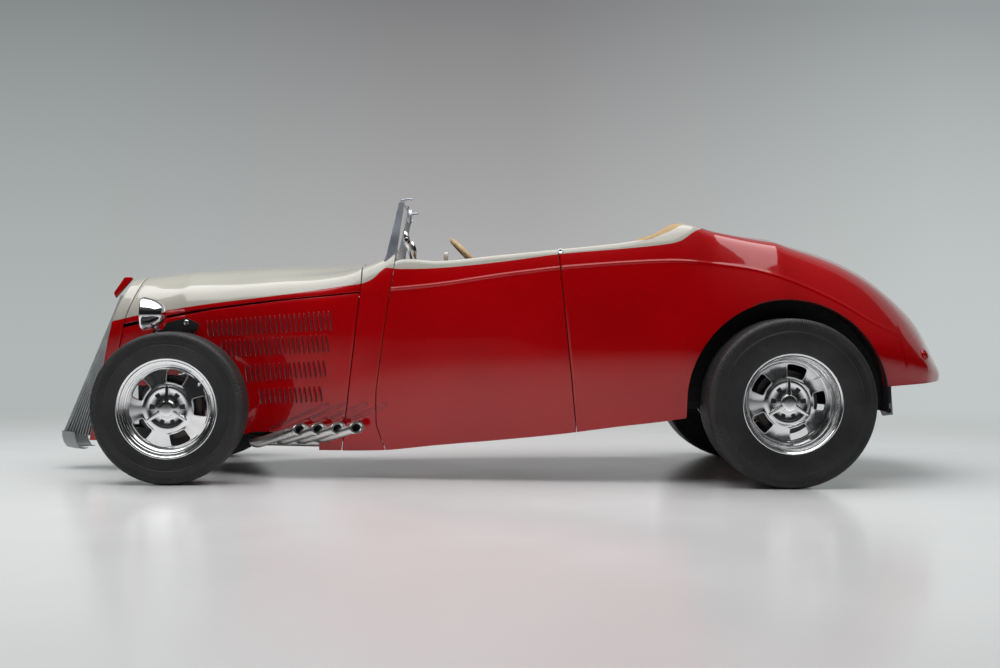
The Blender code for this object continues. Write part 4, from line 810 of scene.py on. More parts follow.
def hood_low(s):
    """Height of the hood side's lower edge: the axle opening, then the pipes' slot."""
    x0, x1 = along(-0.37), along(0.085)
    base = section(s)[0][1]
    if s < x1 - 0.10:
        return straight(((x0 - 0.4, 0.385), (x0, 0.430), (x1, 0.430)), s)
    if s < x1 + 0.03:
        return base + (0.430 - base) * math.sqrt(max(0.0, 1 - ((s - x1 + 0.10) / 0.13) ** 2))
    p0, p1 = along(0.105), along(0.248)
    slot = straight(((p0 - 0.010, base), (p0, 0.165), (p0 + 0.03, 0.197), (p0 + 0.10, 0.216),
                     (p1 - 0.02, 0.219), (p1, 0.205), (p1 + 0.006, base)), s)
    return max(base, slot)


def build_hood_sides():
    """The fixed hood sides, cut out for the axle and the pipes."""
    front, rear = seam_x(SHELL_EDGE, SEAM / 2), seam_x(HOOD_REAR, -SEAM / 2)
    x1 = along(0.085)
    p0, p1 = along(0.105), along(0.248)
    stations = evenly(along(-0.50), x1 - 0.10, 0.018)
    stations += [x1 - 0.10 + 0.13 * math.sin(math.radians(a)) for a in range(8, 91, 8)] + [x1 + 0.0305]
    stations += [p0 - 0.010, p0, p0 + 0.012] + evenly(p0 + 0.03, p1 - 0.02, 0.018)
    stations += [p1 - 0.008, p1, p1 + 0.006] + evenly(p1 + 0.02, along(0.2870), 0.015)
    rails = (lambda s: ('z', hood_low(s)), lambda s: ('z', straight(HOOD_SEAM, s) - SEAM * 0.32))
    columns = ruled(sorted(set(stations)), rails, (26,), front, rear, None)
    left = columns_to_mesh(columns, 0.014)
    flip_to(left, Vector((0, -1, 0)))
    right = mirrored(left)
    for shape, side in ((left, 'left'), (right, 'right')):
        made = finished(shape, f'hood_side_panel_{side}', 'red', [f'hood_side_{side}'])
        wall(made, 0.003, 0.0010)


def build_cowl():
    """The cowl between the hood and the doors."""
    front, rear = seam_x(HOOD_REAR, SEAM / 2), seam_x(DOOR_FRONT, -SEAM / 2)
    stations = evenly(along(0.290), along(0.350), 0.008)
    columns = ruled(stations, WHOLE_RAILS, (14, 22, 26), front, rear)
    shape = both_sides(columns_to_mesh(columns, 0.014))
    tone(shape)
    made = finished(shape, 'cowl_panel', 'two_tone', ['cowl'])
    return wall(made, 0.008, 0.0015)


def roll_points(edge, across, rise_angle, flat, radius=0.020):
    """Points of a rolled edge: up over the top, flat across, then down the inside.

    across is the level direction into the cockpit, rise_angle the skin's slope there.
    """
    points = []
    at = Vector(edge)
    angles = [rise_angle * (1 - k / 4) for k in range(5)]
    for a, b in zip(angles, angles[1:]):
        middle = (a + b) / 2
        at = at + (across * math.cos(middle) + Vector((0, 0, math.sin(middle)))) * radius * abs(a - b)
        points.append(at)
    at = at + across * flat
    points.append(at)
    for k in range(5):
        middle = -math.radians(18 * k + 9)
        at = at + (across * math.cos(middle) + Vector((0, 0, math.sin(middle)))) * radius * math.radians(18)
        points.append(at)
    return points


def rail_profile(x, floor_z, inner_rows=8, thick=0.058):
    """Points over a side rail and down the inner wall at world X."""
    edge = skin(x, V_EDGE)
    slope = skin(x, V_EDGE + 0.02) - skin(x, V_EDGE - 0.02)
    rise = math.atan2(slope.z, slope.y)
    extent = 0.020 * (math.sin(rise) + 1)
    points = roll_points(edge, Vector((0, 1, 0)), rise, max(0.004, thick - extent))
    top = points[-1]
    low_v = 0.02
    for k in range(1, inner_rows + 1):
        z = top.z + (floor_z - top.z) * k / inner_rows
        y = skin(x, v_at(x, z, low_v, 2.0)).y + thick
        points.append(Vector((x, max(y, top.y - 0.045), z)))
    return points


def belt_at(s):
    """Height of the belt line at a station."""
    return smooth(BELT, s)


def build_seam_shade_cords():
    """Thin dark cords deep in the upright seams, painted shade there so that no light shows through them.
    """
    shape = bmesh.new()
    for line in (HOOD_REAR, DOOR_FRONT, DOOR_REAR):
        edge = seam_x(line)
        points = []
        for k in range(25):
            z = 0.14 + 0.80 * k / 24
            x = edge(z)
            if z < section(x)[0][1] + 0.002:
                continue
            v = v_at(x, z)
            points.append(skin(x, v) - normal_at(x, v) * 0.009)
        low = points[0].copy()
        low.z = section(points[0].x)[0][1] + 0.001
        points = [low] + points
        for hand in (1, -1):
            bar(shape, [Vector((p.x, p.y * hand, p.z)) for p in points], 0.0021, 6)
    closed(shape, 'seam_shade_cords', 'dark', angle=60)


def build_doors():
    """Both doors: outer skin, rolled rail, leather inside and ends that follow the seams."""
    front, rear = seam_x(DOOR_FRONT, SEAM / 2), seam_x(DOOR_REAR, -SEAM / 2)
    stations = evenly(along(0.345), along(0.640), 0.016)
    columns = ruled(stations, BELT_RAILS, BELT_COUNTS, front, rear)
    x0, x1 = stations[0], stations[-1]
    lines = []
    for n, (s, column) in enumerate(zip(stations, columns)):
        outer = [entry[0] for entry in column]
        over = rail_profile(column[-1][1], 0.43)
        low = outer[0]
        over += [Vector((over[-1].x, over[-1].y, low.z + 0.03)),
                 Vector((low.x, low.y + 0.040, low.z + 0.004)),
                 Vector((low.x, low.y + 0.006, low.z - 0.001))]
        t = n / (len(columns) - 1)
        for point in over:
            point.x = s + (front(point.z) - x0) * (1 - t) + (rear(point.z) - x1) * t
        lines.append(outer + over)
    rows = len(lines[0])
    shape, cells = grid(len(lines) - 1, rows, lambda i, j: lines[i][j % rows])
    leather_from = len(columns[0]) + 7
    for face, (_, j) in cells.items():
        face.material_index = 1 if leather_from <= j < rows - 3 else 0
    fuse(shape, 0.0002)
    bmesh.ops.holes_fill(shape, edges=[e for e in shape.edges if e.is_boundary], sides=0)
    for face in shape.faces:
        if len(face.verts) > 8:
            face.material_index = 0
    tone(shape)
    bmesh.ops.recalc_face_normals(shape, faces=shape.faces)
    right = mirrored(shape)
    for part, side in ((shape, 'left'), (right, 'right')):
        finished(part, f'door_panel_{side}', 'two_tone leather', [f'door_{side}'], angle=35,
                 body=f'door_{side}')


CORNER_START = FRONT_AXLE + 2.150
COCKPIT_BACK = along(0.846)
LID_X = (along(0.935), along(1.640))
# The wheel arch's centre (x, z) and radius
ARCH = (REAR_AXLE + 0.013, 0.388, 0.471)
TAIL_END = along(1.992)
COCKPIT_FLOOR = 0.50
OUTER_ROWS = INNER_ROWS = 12


def lid_half(x):
    """Half width of the deck lid in plan."""
    x0, x1 = LID_X
    if x > x1 - 0.13:
        b = min(1.0, (x - (x1 - 0.13)) / 0.13)
        return 0.19 + 0.135 * math.sqrt(max(0.0, 1 - b * b))
    return 0.40 + (0.325 - 0.40) * max(0.0, (x - x0) / (x1 - 0.13 - x0))


def v_for_y(x, y):
    """Where the left half of the upper surface is y from the centre line."""
    low, high = V_EDGE, 4.0
    for _ in range(24):
        middle = (low + high) / 2
        if -skin(x, middle).y > y:
            low = middle
        else:
            high = middle
    return low


def tail_low(s):
    """Height of the tail side's lower edge, over the wheel arch."""
    base = section(s)[0][1]
    cx, cz, r = ARCH
    if abs(s - cx) >= r:
        return base
    return max(base, cz + math.sqrt(max(0.0, r * r - (s - cx) ** 2)))


def tail_point(x, v):
    """The skin, closed to a rounded end behind its last section."""
    if x <= TAIL_END:
        return skin(x, v)
    point = skin(TAIL_END, v)
    t = min((x - TAIL_END) / 0.006, 1.0)
    shrink = 1 - t * t * 0.9
    return Vector((x, point.y * shrink, 0.490 + (point.z - 0.490) * shrink))


def tail_stations():
    """Stations of the tail: the plain ones, with the wheel arch's own squeezed between them."""
    cx, _, r = ARCH
    lid_front, lid_rear = LID_X
    plain = evenly(CORNER_START, lid_front, 0.016)
    plain += evenly(lid_front, lid_rear, 0.018) + evenly(lid_rear, along(1.90), 0.018)[1:]
    plain += evenly(along(1.90), TAIL_END, 0.008)[1:] + [TAIL_END + d for d in (0.0025, 0.0045, 0.006)]
    plain = {round(s, 6) for s in plain}
    arch = [cx - r * math.cos(math.radians(a)) for a in range(0, 181, 6)]
    arch = [round(a, 6) for a in [arch[0] - 0.0006] + arch]
    kept = []
    for s in sorted(plain | set(arch)):
        if kept and s - kept[-1] < 0.003 and s not in arch[:2]:
            if s in plain and kept[-1] not in plain:
                kept[-1] = s
                continue
            if s not in plain:
                continue
        kept.append(s)
    return kept


def tail_column(s):
    """Points up the tail's side at a station, from the arch or the lower edge to the rail."""
    cx, _, r = ARCH
    inside = min(s, TAIL_END)
    low = tail_low(s) if s > cx - r - 0.0003 else section(inside)[0][1]
    v_low = 0.0 if s >= TAIL_END else v_at(s, low)
    v_belt = v_at(s, belt_at(s)) if s < BELT[-1][0] else 0.0
    v_belt = max(v_belt, v_low + 0.12, 0.95)
    rise = max(skin(inside, V_EDGE).z - skin(inside, 0).z, 0.01)
    d = min(0.016 / rise * V_EDGE, 0.3 * (V_EDGE - v_belt))
    points = []
    for v in spaced([v_low, v_belt - min(d, 0.08), v_belt + d, V_EDGE], BELT_COUNTS):
        point = tail_point(s, v)
        lift = belt_lift(s, point.z)
        points.append(point + normal_at(s, v) * lift if lift else point)
    return points


def corner_x(v):
    """Where the deck starts: along the cockpit's rounded corner, then across its back."""
    if v >= 3.0:
        return COCKPIT_BACK
    t = (3.0 - v) / (3.0 - V_EDGE)
    return CORNER_START + (COCKPIT_BACK - CORNER_START) * math.sqrt(max(0.0, 1 - t * t))


def deck_values(v_split):
    """Rows of the deck: close near the rail, where the corner turns, then even to the middle."""
    first = [V_EDGE + (v_split - V_EDGE) * (k / OUTER_ROWS) ** 1.5 for k in range(OUTER_ROWS + 1)]
    return first + [v_split + (4.0 - v_split) * (k + 1) / INNER_ROWS for k in range(INNER_ROWS)]


def add_sheet(shape, lines, leather_from=None):
    """Add lines of points to a bmesh as a sheet, in leather from a row on."""
    part, cells = sheet(lines)
    for face, (_, j) in cells.items():
        face.material_index = 1 if leather_from is not None and j >= leather_from else 0
    merge(shape, part)


def add_deck(shape, stations):
    """Add the deck round the lid's opening; returns its front edge as (point, v) pairs."""
    lid_front, lid_rear = LID_X
    values = deck_values(v_for_y(lid_front, lid_half(lid_front)))
    lines = []
    for s in stations:
        if s <= lid_front + 1e-5:
            t = (s - CORNER_START) / (lid_front - CORNER_START)
            lines.append([skin(corner_x(v) + t * (lid_front - corner_x(v)), v) for v in values])
    add_sheet(shape, lines)
    edge = list(zip(lines[0], values))
    behind = [s for s in stations if s >= lid_front - 1e-5]
    splits = [v_for_y(min(s, TAIL_END), lid_half(min(s, lid_rear))) for s in behind]
    lines = [[tail_point(s, v) for v in deck_values(split)] for s, split in zip(behind, splits)]
    part, cells = sheet(lines)
    hole = [face for face, (i, j) in cells.items() if behind[i + 1] <= lid_rear + 1e-6 and j >= OUTER_ROWS]
    bmesh.ops.delete(part, geom=hole, context='FACES')
    merge(shape, part)
    return edge


def rim_line(before, point, after, v, last):
    """Points over the rolled edge behind the seat and down inside the cockpit."""
    x = corner_x(v)
    run = after - before
    across = Vector((-run.y, run.x, 0)).normalized()
    if across.x > 0.001 or (abs(across.x) < 0.001 and across.y < 0):
        across = -across
    if last:
        across = Vector((-1, 0, 0))
    slope = normal_at(x, v)
    rise = max(0.05, math.atan2(-slope.dot(across), slope.z))
    share = min(1.0, (x - CORNER_START) / 0.2)
    thick = 0.058 * (1 - share) + 0.034 * share
    over = roll_points(point, across, rise, max(0.002, thick - 0.020 * (math.sin(rise) + 1)))
    top = over[-1]
    inside = min(x, CORNER_START)
    for n in range(1, 9):
        z = top.z + (COCKPIT_FLOOR - top.z) * n / 8
        side_y = skin(inside, v_at(inside, z, 0.02, 2.0)).y
        bulge = (side_y - skin(CORNER_START, V_EDGE).y) * (1 - share)
        over.append(Vector((top.x, min(top.y + bulge, 0), z)))
    return [point] + over


def build_rear_body():
    """The quarters, the tail with its wheel arches, the deck and the rolled cockpit edge."""
    shape = bmesh.new()
    front = evenly(along(0.640), CORNER_START, 0.016)
    quarter = ruled(front, BELT_RAILS, BELT_COUNTS, seam_x(DOOR_REAR, SEAM / 2), lambda z: CORNER_START)
    columns = [[entry[0] for entry in column] for column in quarter]
    add_sheet(shape, [flanged(line, 0.022, 0.3, 0.0015) for line in columns])
    stations = tail_stations()
    tail = [columns[-1]] + [tail_column(s) for s in stations[1:]]
    add_sheet(shape, [flanged(line, 0.022, 0.3, 0.0015) for line in tail])
    edge = add_deck(shape, stations)
    rim = [[column[-1][0]] + rail_profile(column[-1][1], COCKPIT_FLOOR) for column in quarter]
    for k in range(1, len(edge)):
        point, v = edge[k]
        last = k == len(edge) - 1
        rim.append(rim_line(edge[k - 1][0], point, point if last else edge[k + 1][0], v, last))
    add_sheet(shape, rim, 8)
    fuse(shape, 0.0008)
    both_sides(shape)
    tone(shape)
    made = finished(shape, 'rear_body_panel', 'two_tone leather', ['rear_body'], angle=38)
    wall(made, 0.0025)


def build_deck_lid():
    """The trunk's lid, inside the outline left in the deck."""
    lid_front, lid_rear = LID_X
    x0, x1 = lid_front + SEAM, lid_rear - SEAM
    stations = evenly(x0, x1 - 0.13, 0.018)
    stations += [x1 - 0.13 + 0.13 * math.sin(math.radians(a)) for a in range(10, 91, 10)]
    lines = []
    for x in stations:
        spread = (x - x0) / (x1 - x0)
        edge_at = v_for_y(x, lid_half(lid_front + spread * (lid_rear - lid_front)) - SEAM)
        lines.append([skin(x, edge_at + (4 - edge_at) * k / 14) for k in range(15)])
    lid = both_sides(sheet(lines)[0])
    wall(finished(lid, 'deck_lid_panel', 'red', ['deck_lid'], body='deck_lid'), 0.004, 0.0012)


# Louvres, grille and trim

LOUVRE_ROWS = (
    (0.118, 0.715, 26, 0.670, 0.750, 0.704, 0.800),
    (0.187, 0.700, 23, 0.570, 0.655, 0.600, 0.689),
    (0.308, 0.687, 17, 0.452, 0.540, 0.485, 0.566),
    (0.376, 0.668, 13, 0.347, 0.425, 0.366, 0.442),
)


def build_louvres(settings):
    """Rows of pressed louvres on both hood sides, each with painted shade in dark red where it opens along
    its rear edge.
    """
    across = ((-0.0085, 0.0), (-0.0060, 0.0018), (-0.0028, 0.0040), (-0.0004, 0.0050), (0.0012, 0.0044),
              (0.0018, 0.0004), (0.0088, 0.0002))
    rows = (-1.0, -0.93, -0.72, 0.0, 0.72, 0.93, 1.0)
    whole = bmesh.new()
    for x_first, x_last, count, low_first, high_first, low_last, high_last in LOUVRE_ROWS:
        for k in range(count):
            t = k / (count - 1)
            x = FRONT_AXLE + x_first + (x_last - x_first) * t
            low = low_first + (low_last - low_first) * t
            high = high_first + (high_last - high_first) * t
            half = (high - low) / 2
            middle = (high + low) / 2
            table = []
            for w, h in across:
                line = []
                for r in rows:
                    width = math.sqrt(max(0.0, 1 - r ** 4))
                    px = x + w * width - r * half * 0.14
                    pz = middle + r * half
                    v = v_at(px, pz)
                    rise = settings.louvre_height * h / 0.005 * width
                    line.append(skin(px, v) + normal_at(px, v) * (rise + 0.0003))
                table.append(line)
            part, cells = sheet(table)
            for face, (i, j) in cells.items():
                # Painted shade: the faces under and behind each lip take the dark slot colour in place of a
                # shaded opening
                face.material_index = 1 if i in (4, 5) else 0
            merge(whole, part)
    fuse(whole, 0.0001)
    flip_to(whole, Vector((0, -1, 0)))
    for face in whole.faces:
        if face.normal.y > 0.2:
            face.normal_flip()
    right = mirrored(whole)
    for shape, side in ((whole, 'left'), (right, 'right')):
        finished(shape, f'hood_louvres_{side}', 'red slot', angle=60)


def grille_half(share):
    """Half width of the grille at a share of its height."""
    return 0.110 + 0.055 * share if share < 0.8 else 0.154 - 0.20 * (share - 0.8)


def grille_at(share):
    """Shell x, tip x, half width and height of the grille at a share of its height."""
    top, bottom = 0.872, 0.1703
    return (along(-0.712 + share * 0.232), along(-0.992 + share * 0.428), grille_half(share),
            bottom + share * (top - bottom))


def build_nose():
    """The pointed grille with its bars, a dark sheet of painted shade behind them, its apron, and the crest
    above it.
    """
    shape = bmesh.new()
    side = [grille_at(k / 12) for k in range(13)]
    for hand in (-1, 1):
        for k in range(11):
            share = (k + 0.6) / 11.4
            path = [(tip + 0.006 + (x - tip - 0.004) * share, hand * half * share, z) for x, tip, half,
                    z in side]
            bar(shape, path, 0.0048, 8)
    outline = [(x + 0.004, -half, z) for x, tip, half, z in side]
    outline += [(x + 0.004, half, z) for x, tip, half, z in reversed(side)]
    bar(shape, outline, 0.0085, 10)
    bar(shape, [(tip + 0.006, 0, z) for x, tip, half, z in side], 0.0080, 12)
    finished(shape, 'grille_bars', 'nose_metal', ['grille_insert'], angle=45)
    # Painted shade: a near-black sheet behind the bars in place of the shaded space behind the grille
    backing, _ = grid(2, 12, lambda i, j: Vector((
        side[j][0] + 0.022 if i != 1 else side[j][1] + 0.030, (i - 1) * (side[j][2] - 0.004), side[j][3])))
    made = finished(backing, 'grille_shade_sheet', 'dark', angle=45)
    wall(made, 0.004)
    # the apron under the grille
    levels = ((0.188, -0.681, -0.592, 0.108), (0.160, -0.6805, -0.585, 0.112),
              (0.130, -0.672, -0.575, 0.110),
              (0.108, -0.655, -0.560, 0.100), (0.102, -0.630, -0.545, 0.086),
              (0.106, -0.600, -0.530, 0.070))

    def apron(i, j):
        z, tip, back, half = levels[j]
        u = (i - 6) / 6
        bow = abs(u) ** 1.25
        return Vector((FRONT_AXLE + tip + (back - tip) * bow, half * u, z))

    part, cells = grid(12, len(levels) - 1, apron)
    flip_to(part, Vector((-1, 0, 0)))
    made = finished(part, 'grille_apron', 'nose_metal', angle=50)
    wall(made, 0.003, 0.001)
    # a plain crest on the nose
    part = bmesh.new()
    outline = ((-0.420, 0.885), (-0.408, 0.858), (-0.385, 0.885), (-0.322, 0.958), (-0.332, 0.967),
               (-0.365, 0.966))
    plate(part, [(FRONT_AXLE + x, -0.011, z) for x, z in outline], (0, 0.022, 0))
    soften(part, part.edges[:], 0.0035, 3)
    finished(part, 'nose_crest', 'red', ['nose_ornament'], angle=50)


# Wheels and tyres

# Each wheel: name, axle, distance from the middle, radius, tyre width, depth of the dish, side
WHEELS = (
    ('front_left', FRONT_AXLE, 0.648, 0.350, 0.200, 0.030, -1),
          ('front_right', FRONT_AXLE, 0.648, 0.350, 0.200, 0.030, 1),
    ('rear_left', REAR_AXLE, 0.704, 0.388, 0.276, 0.105, -1),
          ('rear_right', REAR_AXLE, 0.704, 0.388, 0.276, 0.105, 1),
)
FLANGE = 0.2315
# A wheel window's inner and outer radius, corner radius and half angle, and steps across it and a spoke
WINDOW_LOW, WINDOW_HIGH, WINDOW_CORNER = 0.1155, 0.1815, 0.014
WINDOW_SPREAD = math.radians(18.2)
WINDOW_STEPS, SPOKE_STEPS = 10, 6


def build_tyre(name, x, track, radius, width, side):
    """A radial tyre: bead, rounded side wall, shoulder blocks and grooved tread."""
    half = width / 2
    bead = half - 0.0183
    line = [(-bead, 0.2163), (-bead - 0.004, 0.226), (-bead - 0.012, FLANGE + 0.010)]
    middle = (FLANGE + radius) / 2
    for k in range(7):
        a = math.radians(-50 + 100 * k / 6)
        line.append((-half + 0.012 * (1 - math.cos(a)) + 0.0005,
                     middle + (radius - 0.036 - middle) * math.sin(a) / 0.766))
    line += [(-half + 0.004, radius - 0.024), (-half + 0.008, radius - 0.0125),
             (-half + 0.0145, radius - 0.0050), (-half + 0.024, radius - 0.0012)]
    grooves = 3 if width < 0.25 else 4
    span = half - 0.046
    for k in range(grooves):
        a = -span + 2 * span * (k + 0.5) / grooves
        if a > 0.001:
            break
        crown = radius - 0.0012 + 0.0012 * (1 - (a / half) ** 2)
        line += [(a - 0.005, crown), (a - 0.0035, crown - 0.007), (a + 0.0035, crown - 0.007),
                 (a + 0.005, crown)]
    left = [p for p in line if p[0] < -0.0001]
    whole = left + [(-a, r) for a, r in reversed(left)]
    if grooves == 3:
        # the middle groove lies on the centre line
        left = [p for p in left if p[0] < -0.006]
        middle = [(-0.005, radius), (-0.0035, radius - 0.007), (0.0035, radius - 0.007), (0.005, radius)]
        whole = left + middle + [(-a, r) for a, r in reversed(left)]
    shape = bmesh.new()
    revolve(shape, whole, (x, side * track, radius), (0, side, 0), 96, True)
    closed(shape, f'tyre_visual_{name}', f'rubber_{name}', [f'tyre_{name}'], angle=32, body=f'wheel_{name}')


def wheel_rows(half, face, dish):
    """A wheel's closed outline as (radius, depth) rows, with its first and last window rows."""
    low, high, corner = WINDOW_LOW, WINDOW_HIGH, WINDOW_CORNER
    hub = ((0.046, 0.006), (0.052, 0.004), (0.060, 0.003), (0.074, 0.003), (0.080, 0.004), (0.0855, 0.0065),
           (0.089, 0.0075), (0.0975, 0.0075), (0.101, 0.0065), (0.106, 0.003), (0.112, 0.001))
    window = [low + corner * (1 - math.cos(math.radians(a))) for a in (0, 30, 60, 90)]
    window += [high - corner * (1 - math.cos(math.radians(a))) for a in (90, 60, 30, 0)]
    rows = [(r, face + h) for r, h in hub]
    first = len(rows)
    rows += [(r, face - 0.0005 - 0.017 * (r - low) / (high - low)) for r in window]
    last = len(rows) - 1
    rows += [(0.1835, face - 0.0185), (0.1875, face - 0.0195), (0.1885, face - 0.0210),
             (0.1925, face - 0.0190), (0.1935, face - 0.012)]
    if dish < 0.06:
        rows += [(0.2005, face - 0.006), (0.2015, face + 0.002), (0.2075, face + 0.005),
                 (0.2085, face + 0.014), (0.2155, face + 0.017), (0.2180, half - 0.006),
                 (0.2225, half - 0.002)]
    else:
        rows += [(0.1985, face), (0.2015, face + 0.010), (0.2030, face + 0.030), (0.2065, face + 0.034),
                 (0.2075, face + 0.052), (0.2085, face + 0.074), (0.2125, face + 0.079),
                 (0.2160, half - 0.010), (0.2225, half - 0.003)]
    # over the flange, across the barrel and down behind the face
    rows += [(0.2275, half), (FLANGE, half - 0.0015), (FLANGE, half - 0.0065), (0.2255, half - 0.0085),
             (0.2163, half - 0.014), (0.2155, half - 0.030), (0.2155, -half + 0.030),
             (0.2163, -half + 0.012),
             (FLANGE, -half + 0.007), (FLANGE, -half + 0.001), (0.2250, -half), (0.2100, -half + 0.010),
             (0.2080, -half + 0.035), (0.2080, face - 0.040), (0.200, face - 0.044), (0.182, face - 0.041),
             (0.120, face - 0.026), (0.100, face - 0.034), (0.046, face - 0.036), (0.0008, face - 0.036)]
    return rows, first, last


def window_reach(r):
    """Half angle of a window at a radius, narrower round its corners."""
    r = min(max(r, WINDOW_LOW), WINDOW_HIGH)
    reach = WINDOW_SPREAD * (0.150 / r) ** 0.35
    edge = min(r - WINDOW_LOW, WINDOW_HIGH - r)
    if edge < WINDOW_CORNER:
        k = 1 - max(edge, 0) / WINDOW_CORNER
        reach -= WINDOW_CORNER * (1 - math.sqrt(max(0.0, 1 - k * k))) / r
    return reach


def wheel_disc(centre, side, half, face, dish, settings):
    """The turned wheel with its windows cut and bordered."""
    rows, first, last = wheel_rows(half, face, dish)
    count = settings.window_count
    sector = 2 * math.pi / count
    per = WINDOW_STEPS + SPOKE_STEPS

    def place(i, j):
        r, a = rows[j % len(rows)]
        n, k = divmod(i, per)
        wide = window_reach(r)
        if k <= WINDOW_STEPS:
            angle = n * sector + wide * (2 * k / WINDOW_STEPS - 1)
        else:
            angle = n * sector + wide + (sector - 2 * wide) * (k - WINDOW_STEPS) / SPOKE_STEPS
        angle += settings.window_turn
        return centre + Vector((-side * math.cos(angle) * r, side * a, math.sin(angle) * r))

    shape, cells = grid(per * count, len(rows) - 1, place)
    front = [f for f, (i, j) in cells.items() if first <= j < last and i % per < WINDOW_STEPS]
    # the back is left open behind the windows
    back = [f for f, (_, j) in cells.items() if j == len(rows) - 5]
    bmesh.ops.delete(shape, geom=back, context='FACES')
    fuse(shape, 0.00002)
    front = [f for f in front if f.is_valid]
    axis = Vector((0, side, 0))
    shape.normal_update()
    inset = bmesh.ops.inset_region(shape, faces=front, thickness=0.0044, use_boundary=True,
                                   use_even_offset=True)
    for face_of_border in inset['faces']:
        face_of_border.material_index = 1
    border = {v for f in inset['faces'] for v in f.verts}
    bmesh.ops.translate(shape, verts=list(border), vec=axis * 0.0034)
    inner = [f for f in front if f.is_valid]
    result = bmesh.ops.extrude_face_region(shape, geom=inner)
    moved = [g for g in result['geom'] if isinstance(g, bmesh.types.BMVert)]
    bmesh.ops.translate(shape, verts=moved, vec=axis * -0.021)
    ends = [g for g in result['geom'] if isinstance(g, bmesh.types.BMFace)]
    bmesh.ops.delete(shape, geom=ends, context='FACES')
    bmesh.ops.delete(shape, geom=[f for f in inner if f.is_valid], context='FACES')
    bmesh.ops.recalc_face_normals(shape, faces=shape.faces)
    return shape


def outward(side, degrees):
    """The way out from a left or right wheel's centre at an angle from the level."""
    a = math.radians(degrees)
    return Vector((-side * math.cos(a), 0, math.sin(a)))


def wheel_centre(centre, side, face):
    """The domed cap, its three ears over the ring, and the valve stem by the rim."""
    axis = Vector((0, side, 0))
    hub = bmesh.new()
    cap = [(face + 0.002, 0.048), (face + 0.006, 0.045), (face + 0.008, 0.0385), (face + 0.022, 0.0372),
           (face + 0.0245, 0.0355), (face + 0.0265, 0.031), (face + 0.0275, 0.018), (face + 0.0278, 0.0008)]
    revolve(hub, cap, centre, axis, 40)
    for degrees in (90, 212, 328):
        out = outward(side, degrees)
        path = [centre + out * r + axis * (face + h) for r, h in
                ((0.024, 0.020), (0.040, 0.019), (0.066, 0.0145), (0.092, 0.0125), (0.106, 0.0110))]
        rounded_bar(hub, path, (0.026, 0.022, 0.0165, 0.0145, 0.0120), 0.013, axis, 16)
    out = outward(side, 38)
    base = centre + out * 0.186 + axis * (face - 0.008)
    bar(hub, [base, base + axis * 0.018, base + axis * 0.026 - out * 0.002], 0.0042, 10)
    bmesh.ops.recalc_face_normals(hub, faces=hub.faces)
    return hub


def build_wheel(name, x, track, radius, width, dish, side, settings):
    """A cast wheel with rounded windows, a raised hub ring, ears, a stepped lip and its drum."""
    half = width / 2 - 0.011
    face = half - dish
    centre = Vector((x, side * track, radius))
    axis = Vector((0, side, 0))
    shape = wheel_disc(centre, side, half, face, dish, settings)
    merge(shape, wheel_centre(centre, side, face))
    finished(shape, f'wheel_visual_{name}', 'polished border', [f'wheel_{name}'], angle=35,
             body=f'wheel_{name}')
    # painted shade: dark plates round the cap stand in for the shaded recessed pockets
    pocket_shades = bmesh.new()
    outline = ((0.0555, -0.0085), (0.0555, 0.0085), (0.0805, 0.0125), (0.0825, 0.0), (0.0805, -0.0125))
    for degrees in (6, 53, 127, 174, 249, 291):
        out = outward(side, degrees)
        level = centre + axis * (face + 0.0036)
        plate(pocket_shades, [level + out * r + out.cross(axis) * w for r, w in outline], axis * 0.0012)
    upright = [e for e in pocket_shades.edges if abs((e.verts[0].co - e.verts[1].co).dot(axis)) > 0.0008]
    soften(pocket_shades, upright, 0.0035, 3)
    finished(pocket_shades, f'wheel_pocket_shades_{name}', 'pocket', angle=35, body=f'wheel_{name}')
    # the brake drum behind the windows
    drum = bmesh.new()
    inner = face - 0.052
    revolve(drum, [(inner - 0.050, 0.0008), (inner - 0.050, 0.150), (inner - 0.004, 0.150), (inner, 0.146),
                   (inner, 0.118), (inner - 0.006, 0.112), (inner - 0.006, 0.0008)], centre, axis, 48)
    closed(drum, f'brake_drum_{name}', 'drum', angle=35, body=f'wheel_{name}')


# Running gear and pipes


def beside(bay, out):
    """How far from the middle a place lies that is out past the body's lower edge."""
    return section(along(bay))[0][0] + out


def curve_through(points, steps=8):
    """More points along a smooth line through a few."""
    points = [Vector(p) for p in points]
    line = []
    for k in range(len(points) - 1):
        a = points[max(k - 1, 0)]
        b, c = points[k], points[k + 1]
        d = points[min(k + 2, len(points) - 1)]
        for n in range(steps):
            t = n / steps
            line.append(0.5 * (2 * b + (c - a) * t + (2 * a - 5 * b + 4 * c - d) * t * t
                               + (3 * b - a - 3 * c + d) * t ** 3))
    line.append(points[-1])
    return line


